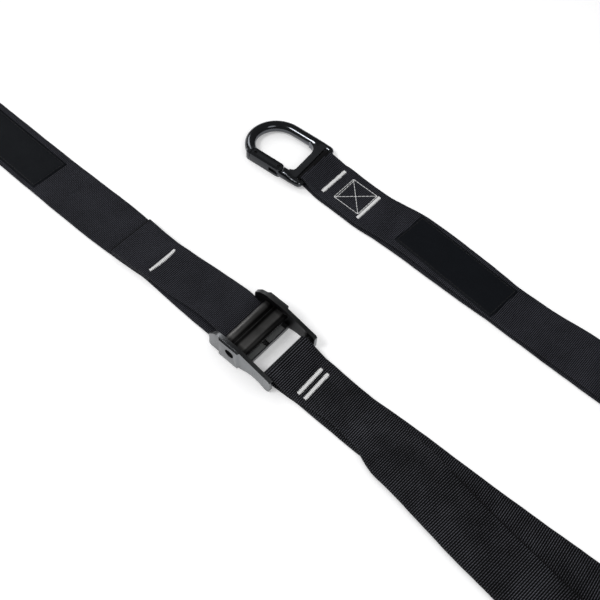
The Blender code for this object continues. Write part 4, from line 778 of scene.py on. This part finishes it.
def leg_y(x, sign):
    """Across from the buckle's middle: measured near the buckle, then out to the grip's end."""
    keys = LEG_MID[sign]
    last_x, last_y = keys[-1]
    end = GRIP_LINE + sign * LOOP_SPREAD
    if x <= last_x:
        return track(keys, x)
    if x >= LOOP_TAB:
        return end
    span = LOOP_TAB - last_x
    return bridge((x - last_x) / span, last_y, LEG_SLOPE[sign] * span, end)


def leg_z(x, sign):
    """The near leg starts on the far one and comes down beside it; both rise onto their loop's end."""
    level = mix(HIGH, LOW, between(x, *COMES_APART)) if sign < 0 else LOW
    return mix(level, HIGH, between(x, *TAB_RISES))


def handle_leg(sign):
    """One leg with its loop round the grip's tube, from the buckle's middle."""
    stations = []
    count = math.ceil((LOOP_START - LEG_START) / 3.0)
    for n in range(count + 1):
        x = mix(LEG_START, LOOP_START, n / count)
        slope = (leg_y(x + 25.0, sign) - leg_y(x - 25.0, sign)) / 50.0 * between(x, *TURNS_ALONG)
        tilt = LEG_TILT[sign] * between(x, *TILT_STARTS) * (1.0 - between(x, *TILT_ENDS))
        place = (x, leg_y(x, sign), leg_z(x, sign) + LEG_HALF * tilt)
        stations.append((place, (-slope, 1, tilt), track(LEG_WIDE[sign], x)))
    radius, centre = fold_radius(TUBE_RADIUS), (REACH, GRIP_HEIGHT)
    start, end = (LOOP_START, HIGH), (LOOP_START, LOW)
    top = tangent_angle(start, centre, radius, -1) % 360.0
    low = tangent_angle(end, centre, radius, 1) % 360.0 - 360.0
    for x, z in joined([start], arc(centre, radius, top, low, 36), run(end, (LOOP_TAB, LOW)))[1:]:
        stations.append(((x, GRIP_LINE + sign * LOOP_SPREAD, z), (0, 1, 0), 36.0))
    return stations


def handle_strap(which):
    """Both legs and the fold round the buckle's end bar, in one strap."""
    ox, oy = BUCKLES[which]
    radius = fold_radius(END_BAR_RADIUS)
    top = tangent_angle((LEG_START, HIGH), END_BAR, radius, 1) % 360.0
    low = tangent_angle((LEG_START, LOW), END_BAR, radius, -1) % 360.0
    bend = [((x, 0.7 * between(x, 22.0, 34.0), z), (0, 1, 0), HANDLE_WIDE)
            for x, z in arc(END_BAR, radius, top, low, 24)]
    route = handle_leg(-1)[::-1] + bend + handle_leg(1)
    stations = [((ox + x, oy + y, z), across, width) for (x, y, z), across, width in route]

    # Painted shadow: a dark line of the darker webbing along the near leg's far edge, on its upper side
    def far_edge_shadow(place):
        x, y = place.x - ox, place.y - oy
        return PAINTED_SHADOW_FROM < x < PAINTED_SHADOW_TO and place.z > HIGH and y > leg_y(x, -1) + PAINTED_SHADOW_ACROSS

    strap(f"handle_{which}_strap", stations, WEBBING_RIB, [f"handle_webbing_{which}"],
          f"handle_strap_{which}", seed=1.0, painted_shade=far_edge_shadow)


# Patches, in millimetres: width, cloth, rise of the face over the floor of its edge, and how far the seam
# lies from the edge and presses the face down
PATCH_WIDE = 29.4
PATCH_CLOTH = 0.28
PATCH_LIFT = 0.34
SEAM_INSET = 1.6
SEAM_PRESS = 0.16
PATCH_COLUMNS = 56
PATCH_ROWS = 22


def flat_patch(name, middle, length, turn, nodes):
    """A woven patch sewn on: thin, its edges turned down, its rim pressed down by the seam."""
    x, y, z = middle
    cos, sin = math.cos(turn), math.sin(turn)
    bm = bmesh.new()
    lay = bm.loops.layers.uv.new("lay")
    grid = []
    for j in range(PATCH_ROWS + 1):
        row = []
        for i in range(PATCH_COLUMNS + 1):
            u = mix(-length / 2, length / 2, i / PATCH_COLUMNS)
            v = mix(-PATCH_WIDE / 2, PATCH_WIDE / 2, j / PATCH_ROWS)
            edge = min(length / 2 - abs(u), PATCH_WIDE / 2 - abs(v))
            seam = math.exp(-((edge - SEAM_INSET) / 0.7) ** 2)
            ripple = 0.05 * jitter(i * 3.1 + j * 7.7) * smooth(edge / 4.0)
            lift = PATCH_LIFT * smooth(edge / 0.5) - SEAM_PRESS * seam + ripple
            place = world((x + u * cos - v * sin, y + u * sin + v * cos, z + lift))
            row.append((bm.verts.new(place), (u, v)))
        grid.append(row)
    for lower, upper in zip(grid, grid[1:]):
        for i in range(PATCH_COLUMNS):
            corners = (lower[i], lower[i + 1], upper[i + 1], upper[i])
            face = bm.faces.new([corner[0] for corner in corners])
            face.smooth = True
            for loop, corner in zip(face.loops, corners):
                loop[lay].uv = corner[1]
    patch = add_piece(name, mesh_from(bm, name), LABEL, "straps", nodes)
    solid = patch.modifiers.new("body", "SOLIDIFY")
    solid.thickness = PATCH_CLOTH * MM
    u, v = length / 2 - SEAM_INSET, PATCH_WIDE / 2 - SEAM_INSET
    corners = ((-u, -v), (u, -v), (u, v), (-u, v), (-u, -v))
    ring = [(x + a * cos - b * sin, y + a * sin + b * cos) for a, b in corners]
    threads(f"{name}_seam", dashes(ring, 1.9, 0.5, z + 0.30, 0.2), 0.16, THREAD_DARK)


neck()
sweep()
buckle_strap("a")
buckle_strap("b")
hank()
handle_strap("a")
handle_strap("b")


# Stitching and patches
BOX_LEFT, BOX_RIGHT = -40.5, -18.9
BOX_NEAR, BOX_FAR = 116.4, 138.0
BOX_TOP = 3.80
BOX_STITCH = 2.3
STITCH_GAP = 0.5


def box_stitch():
    """A square with both diagonals, and a second row beside its left side."""
    left_near, left_far = (BOX_LEFT, BOX_NEAR), (BOX_LEFT, BOX_FAR)
    right_near, right_far = (BOX_RIGHT, BOX_NEAR), (BOX_RIGHT, BOX_FAR)
    second_row = [(BOX_LEFT + 1.5, BOX_NEAR + 0.6), (BOX_LEFT + 1.1, BOX_FAR - 0.4)]
    lines = []
    for points in ([left_near, right_near, right_far, left_far, left_near], [left_near, right_far],
                   [left_far, right_near], second_row):
        lines += dashes(points, BOX_STITCH, STITCH_GAP, BOX_TOP)
    threads("neck_box_stitching", lines, 0.21, THREAD, ["neck_box_stitch"])


# Heights: the neck's tacks, a tack over the middle of its webbing, and the patches on the neck and the legs
NECK_TACK_TOP = 3.78
TACK_OVER = 0.93
NECK_PATCH_TOP = 3.72
LEG_PATCH_TOP = 1.78


def neck_stitching():
    """The neck's two tacks, its box stitch and its patch."""
    bar_tack("neck_tack_stitching", (-49.4, 127.0, NECK_TACK_TOP), 24.5, ["neck_bar_tack"],
             width=2.5, pitch=0.58)
    bar_tack("neck_tack_end_stitching", (-17.0, 126.0, NECK_TACK_TOP), 24.5, ["neck_bar_tack_end"],
             width=2.3, pitch=0.58)
    box_stitch()
    flat_patch("neck_patch", (55.9, 129.3, NECK_PATCH_TOP), 84.5, math.radians(-3.6), ["neck_label"])


def leg_stitching():
    """The legs' patches and the tacks of their tails; leg B's are straight, where A's follow the photo."""
    ox, oy = BUCKLES["b"]
    flat_patch("leg_a_patch", (-236.0, -6.2, LEG_PATCH_TOP), 82.0, math.radians(-0.6), ["leg_label_a"])
    flat_patch("leg_b_patch", (ox - 176.0, oy, LEG_PATCH_TOP), 82.0, 0.0, ["leg_label_b"])
    for which, x, y in (("a", -86.9, LEG_LINE - 1.0), ("b", ox - 86.9, oy - 1.0)):
        bar_tack(f"tail_{which}_stitching", (x, y, TOP + TACK_OVER), 22.0, [f"tail_bar_tack_{which}"],
                 width=1.7, bow=0.9, pitch=0.6)


def handle_stitching(which):
    """Two tacks beside the buckle and one at the end of each loop."""
    ox, oy = BUCKLES[which]
    body, z = f"handle_strap_{which}", HIGH + TACK_OVER
    for number, x in ((1, 41.5), (2, 46.7)):
        bar_tack(f"handle_tack_{number}_{which}", (ox + x, oy - 0.4, z), 22.4,
                 [f"handle_bar_tack_{number}_{which}"], body, turn=math.radians(1.5), width=2.3, pitch=0.58)
    for sign, word in ((-1, "near"), (1, "far")):
        place = (ox + REACH - 38.0, oy + GRIP_LINE + sign * LOOP_SPREAD, z)
        bar_tack(f"loop_tack_{word}_{which}", place, 23.4, [f"grip_loop_tack_{word}_{which}"], body)


neck_stitching()
leg_stitching()
handle_stitching("a")
handle_stitching("b")


# Keeper and grips
# The keeper band: from its outside to the middle of its cloth, the bend of its corners, and its width
KEEPER_HALF = 0.9
KEEPER_BEND = 2.2
KEEPER_WIDE = 24.6


def keeper():
    """The band round the folds: four sides with rounded corners, its ends meeting underneath."""
    low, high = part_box("keeper_band")
    middle_x = ((low.x + high.x) / 2 - ORIGIN.x) / MM
    y = (high.y - low.y) / 2 / MM - KEEPER_HALF - KEEPER_BEND
    bottom, top = low.z / MM + KEEPER_HALF, high.z / MM - KEEPER_HALF
    corners = ((y, bottom + KEEPER_BEND), (y, top - KEEPER_BEND), (-y, top - KEEPER_BEND),
               (-y, bottom + KEEPER_BEND))
    route = [(CUT / 2, bottom)]
    for number, corner in enumerate(corners):
        bend = arc(corner, KEEPER_BEND, 90 * number - 90, 90 * number, 5)
        route = joined(route, run(route[-1], bend[0], 2.0), bend)
    route = joined(route, run(route[-1], (-CUT / 2, bottom), 2.0))
    stations = [((middle_x, NECK_LINE + across, z), (1, 0, 0), KEEPER_WIDE) for across, z in route]
    strap("keeper_elastic", stations, WEBBING, ["keeper_band"], wander=0.05)


ROUND_STEPS = 64


def turned(name, centre, outline):
    """The mesh of a turned piece about a line along Y; the outline is (radius, place along the line)."""
    bm = bmesh.new()
    rings = []
    for radius, y in outline:
        angles = [2 * math.pi * n / ROUND_STEPS for n in range(ROUND_STEPS)]
        places = [(centre[0] + radius * math.cos(angle), centre[1] + y, centre[2] + radius * math.sin(angle))
                  for angle in angles]
        rings.append([bm.verts.new(world(place)) for place in places])
    for first, second in zip(rings, rings[1:]):
        for n in range(ROUND_STEPS):
            beside = (n + 1) % ROUND_STEPS
            face = bm.faces.new((first[n], first[beside], second[beside], second[n]))
            face.smooth = True
    bm.faces.new(rings[0])
    bm.faces.new(rings[-1])
    bmesh.ops.recalc_face_normals(bm, faces=bm.faces)
    return mesh_from(bm, name)


# The foam sleeve: its bore and outer radius, half length, rounded ends, and two rings pressed round it
FOAM_BORE = 11.35
FOAM_RADIUS = 16.4
FOAM_HALF = 62.4
FOAM_ROUND = 1.8
FOAM_RING = 48.0
FOAM_RING_DEPTH = 0.35
FOAM_STEPS = 42


def foam_grip(which):
    """The sleeve's outline from end to end, turned about the tube's line."""
    ox, oy = BUCKLES[which]
    flank, shoulder = FOAM_RADIUS - FOAM_ROUND, FOAM_HALF - FOAM_ROUND
    outline = [(FOAM_BORE, -FOAM_HALF), (flank, -FOAM_HALF)]
    for angle in [math.radians(degrees) for degrees in range(15, 91, 15)]:
        outline.append((flank + FOAM_ROUND * math.sin(angle), -shoulder - FOAM_ROUND * math.cos(angle)))
    for n in range(1, FOAM_STEPS):
        y = mix(-60.0, 60.0, n / FOAM_STEPS)
        outline.append((FOAM_RADIUS - FOAM_RING_DEPTH * math.exp(-((abs(y) - FOAM_RING) / 1.4) ** 2), y))
    for angle in [math.radians(degrees) for degrees in range(0, 76, 15)]:
        outline.append((flank + FOAM_ROUND * math.cos(angle), shoulder + FOAM_ROUND * math.sin(angle)))
    outline += [(flank, FOAM_HALF), (FOAM_BORE, FOAM_HALF)]
    mesh = turned(f"foam_{which}", (ox + REACH, oy + GRIP_LINE, GRIP_HEIGHT), outline)
    piece = add_piece(f"foam_{which}", mesh, FOAM, f"grip_{which}", [f"foam_grip_{which}"])


keeper()
foam_grip("a")
foam_grip("b")


# Castings and pins: the frame's own shapes with their finish, and painted light and shade on buckles and
# carabiner
BEVEL_ANGLE = math.radians(30.0)
CREASE_ANGLE = math.radians(38.0)


def dress(node, mat, bevel=0.0):
    """The node's own shape, shaded smooth between its edges, with its edges broken by the bevel."""
    obj = NODES[node]
    mesh = obj.data
    if "custom_normal" in mesh.attributes:
        mesh.attributes.remove(mesh.attributes["custom_normal"])
    if not mesh.materials:
        mesh.materials.append(mat)
    for place in obj.material_slots:
        place.material = mat
    mesh.polygons.foreach_set("use_smooth", [True] * len(mesh.polygons))
    weld = obj.modifiers.new("weld", "WELD")
    weld.merge_threshold = 0.002 * MM
    if bevel:
        soft = obj.modifiers.new("edges", "BEVEL")
        soft.width = bevel * MM
        soft.segments = 2
        soft.limit_method = "ANGLE"
        soft.angle_limit = BEVEL_ANGLE
    split = obj.modifiers.new("crease", "EDGE_SPLIT")
    split.split_angle = CREASE_ANGLE


def faces_of(obj):
    """Each face with its middle and its direction in the frame."""
    for polygon in obj.data.polygons:
        centre = obj.matrix_world @ polygon.center
        yield polygon, centre, (obj.matrix_world.to_3x3() @ polygon.normal).normalized()


# In a buckle, from its rear end and up: the cam axle with its socket's radius, and the mid bar's pads
AXLE_X = 18.5
AXLE_Z = 11.2
AXLE_EDGE = 3.45
PAD_X = BUCKLE_REAR + 4.0
PAD_HALF = 1.8
PAD_Z = 5.3
# From the buckle's middle: crosswise faces nearer than the first lie between the plates, and upward faces
# past the second are the far plate's
BETWEEN_PLATES = 20.0
FAR_PLATE = 15.0


def paint_buckle_light_and_shade(which):
    """Painted shade between the plates, in the socket and atop the far plate; painted light on the pads."""
    obj = NODES[f"buckle_frame_{which}"]
    low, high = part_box(f"buckle_frame_{which}")
    for mat in (GUNMETAL_PAINTED_SHADE, GUNMETAL_TOP_PAINTED_SHADE, PAD_PAINTED_LIGHT):
        obj.data.materials.append(mat)
    for polygon, centre, facing in faces_of(obj):
        x, z = (centre.x - low.x) / MM, centre.z / MM
        across = (centre.y - (low.y + high.y) / 2) / MM
        in_socket = math.hypot(x - AXLE_X, z - AXLE_Z) < AXLE_EDGE
        if in_socket or (abs(facing.y) > 0.9 and abs(across) < BETWEEN_PLATES):
            polygon.material_index = 1
        elif across > FAR_PLATE and facing.z > 0.3:
            polygon.material_index = 2
        elif abs(x - PAD_X) < PAD_HALF and abs(z - PAD_Z) < 0.1:
            polygon.material_index = 3


def lay_lever(which):
    """The lever's lay map: millimetres along the buckle, then across from its middle."""
    obj = NODES[f"cam_lever_{which}"]
    low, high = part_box(f"buckle_frame_{which}")
    middle = (low.y + high.y) / 2
    lay = obj.data.uv_layers.new(name="lay")
    for loop in obj.data.loops:
        place = obj.matrix_world @ obj.data.vertices[loop.vertex_index].co
        lay.data[loop.index].uv = ((place.x - low.x) / MM - BUCKLE_REAR, (place.y - middle) / MM)


# The gate's rail in the carabiner's box: where it starts along, and its depth across
RAIL_FROM = 9.0
RAIL_ACROSS = 12.0


def shade_near_side(node):
    """Painted shade: the near flanks of the gate's rail take a darker copy of the gloss and mirror less
    floor.
    """
    obj = NODES[node]
    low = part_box("carabiner_body")[0]
    obj.data.materials.append(GLOSS_PAINTED_SHADE)
    for polygon, centre, facing in faces_of(obj):
        on_rail = centre.y < low.y + RAIL_ACROSS * MM and centre.x > low.x + RAIL_FROM * MM
        if on_rail and facing.y < -0.45:
            polygon.material_index = 1


dress("carabiner_body", GLOSS, 0.25)
dress("gate", GLOSS)
shade_near_side("carabiner_body")
shade_near_side("gate")
dress("gate_hinge_pin", PIN)
dress("gate_catch_pin", PIN)
dress("gate_spring", STEEL)
for which in "ab":
    dress(f"buckle_frame_{which}", GUNMETAL)
    paint_buckle_light_and_shade(which)
    lay_lever(which)
    dress(f"cam_lever_{which}", LEVER, 0.3)
    dress(f"cam_axle_{which}", PIN, 0.15)
    dress(f"lever_spring_{which}", STEEL)
    dress(f"grip_tube_{which}", TUBE, 0.2)
    dress(f"end_cap_near_{which}", PLASTIC, 0.3)
    dress(f"end_cap_far_{which}", PLASTIC, 0.3)


# Floor and light
FLOOR_HALF = 6.0
FLOOR_LEVEL = -0.0002
FLOOR_COLOUR = (0.93, 0.93, 0.935, 1.0)
FLOOR_GLOW = 0.21


def floor_material():
    """Matte white that also glows a little where the camera or a mirror sees it."""
    mat = bpy.data.materials.new("floor")
    mat.use_nodes = True
    tree = mat.node_tree
    tree.nodes.clear()
    add = tree.nodes.new
    link = tree.links.new
    surface = add("ShaderNodeOutputMaterial").inputs["Surface"]
    matte = add("ShaderNodeBsdfDiffuse")
    matte.inputs["Color"].default_value = FLOOR_COLOUR
    glow = add("ShaderNodeEmission")
    both = add("ShaderNodeAddShader")
    path = add("ShaderNodeLightPath")
    seen = add("ShaderNodeMath")
    seen.operation = "MAXIMUM"
    level = add("ShaderNodeMath")
    level.operation = "MULTIPLY"
    level.inputs[1].default_value = FLOOR_GLOW
    link(path.outputs["Is Camera Ray"], seen.inputs[0])
    link(path.outputs["Is Glossy Ray"], seen.inputs[1])
    link(seen.outputs[0], level.inputs[0])
    link(level.outputs[0], glow.inputs["Strength"])
    link(matte.outputs[0], both.inputs[0])
    link(glow.outputs[0], both.inputs[1])
    link(both.outputs[0], surface)
    return mat


def floor():
    """A plain floor just under the object."""
    bm = bmesh.new()
    bmesh.ops.create_grid(bm, x_segments=1, y_segments=1, size=FLOOR_HALF)
    mesh = mesh_from(bm, "floor")
    mesh.materials.append(floor_material())
    obj = bpy.data.objects.new("floor", mesh)
    bpy.context.scene.collection.objects.link(obj)
    obj.location.z = FLOOR_LEVEL


def lamp(name, place, target, size, power):
    """A round soft lamp; places are metres from the drawing plane's zero."""
    data = bpy.data.lights.new(name, "AREA")
    data.shape = "DISK"
    data.size = size
    data.energy = power
    obj = bpy.data.objects.new(name, data)
    bpy.context.scene.collection.objects.link(obj)
    obj.location = ORIGIN + Vector(place)
    obj.rotation_mode = "QUATERNION"
    obj.rotation_quaternion = (ORIGIN + Vector(target) - obj.location).to_track_quat("-Z", "Y")


SKY = 0.55
SKY_IN_MIRRORS = 0.05


def light():
    """A white sky that mirrors see much dimmer, and three lamps."""
    scene = bpy.context.scene
    scene.world = scene.world or bpy.data.worlds.new("world")
    scene.world.use_nodes = True
    tree = scene.world.node_tree
    sky = tree.nodes["Background"]
    sky.inputs["Color"].default_value = (1.0, 1.0, 1.0, 1.0)
    path = tree.nodes.new("ShaderNodeLightPath")
    level = tree.nodes.new("ShaderNodeMapRange")
    level.inputs["To Min"].default_value = SKY
    level.inputs["To Max"].default_value = SKY_IN_MIRRORS
    tree.links.new(path.outputs["Is Glossy Ray"], level.inputs["Value"])
    tree.links.new(level.outputs["Result"], sky.inputs["Strength"])
    lamp("key", (-0.75, -1.1, 2.0), (0.0, 0.05, 0.0), 0.7, 17.0)
    lamp("back", (-1.9, 0.4, 1.5), (0.0, 0.05, 0.0), 1.1, 10.0)
    lamp("fill", (1.5, -0.4, 1.6), (0.05, 0.05, 0.0), 1.0, 5.0)
    scene.view_settings.view_transform = "Standard"


floor()
light()
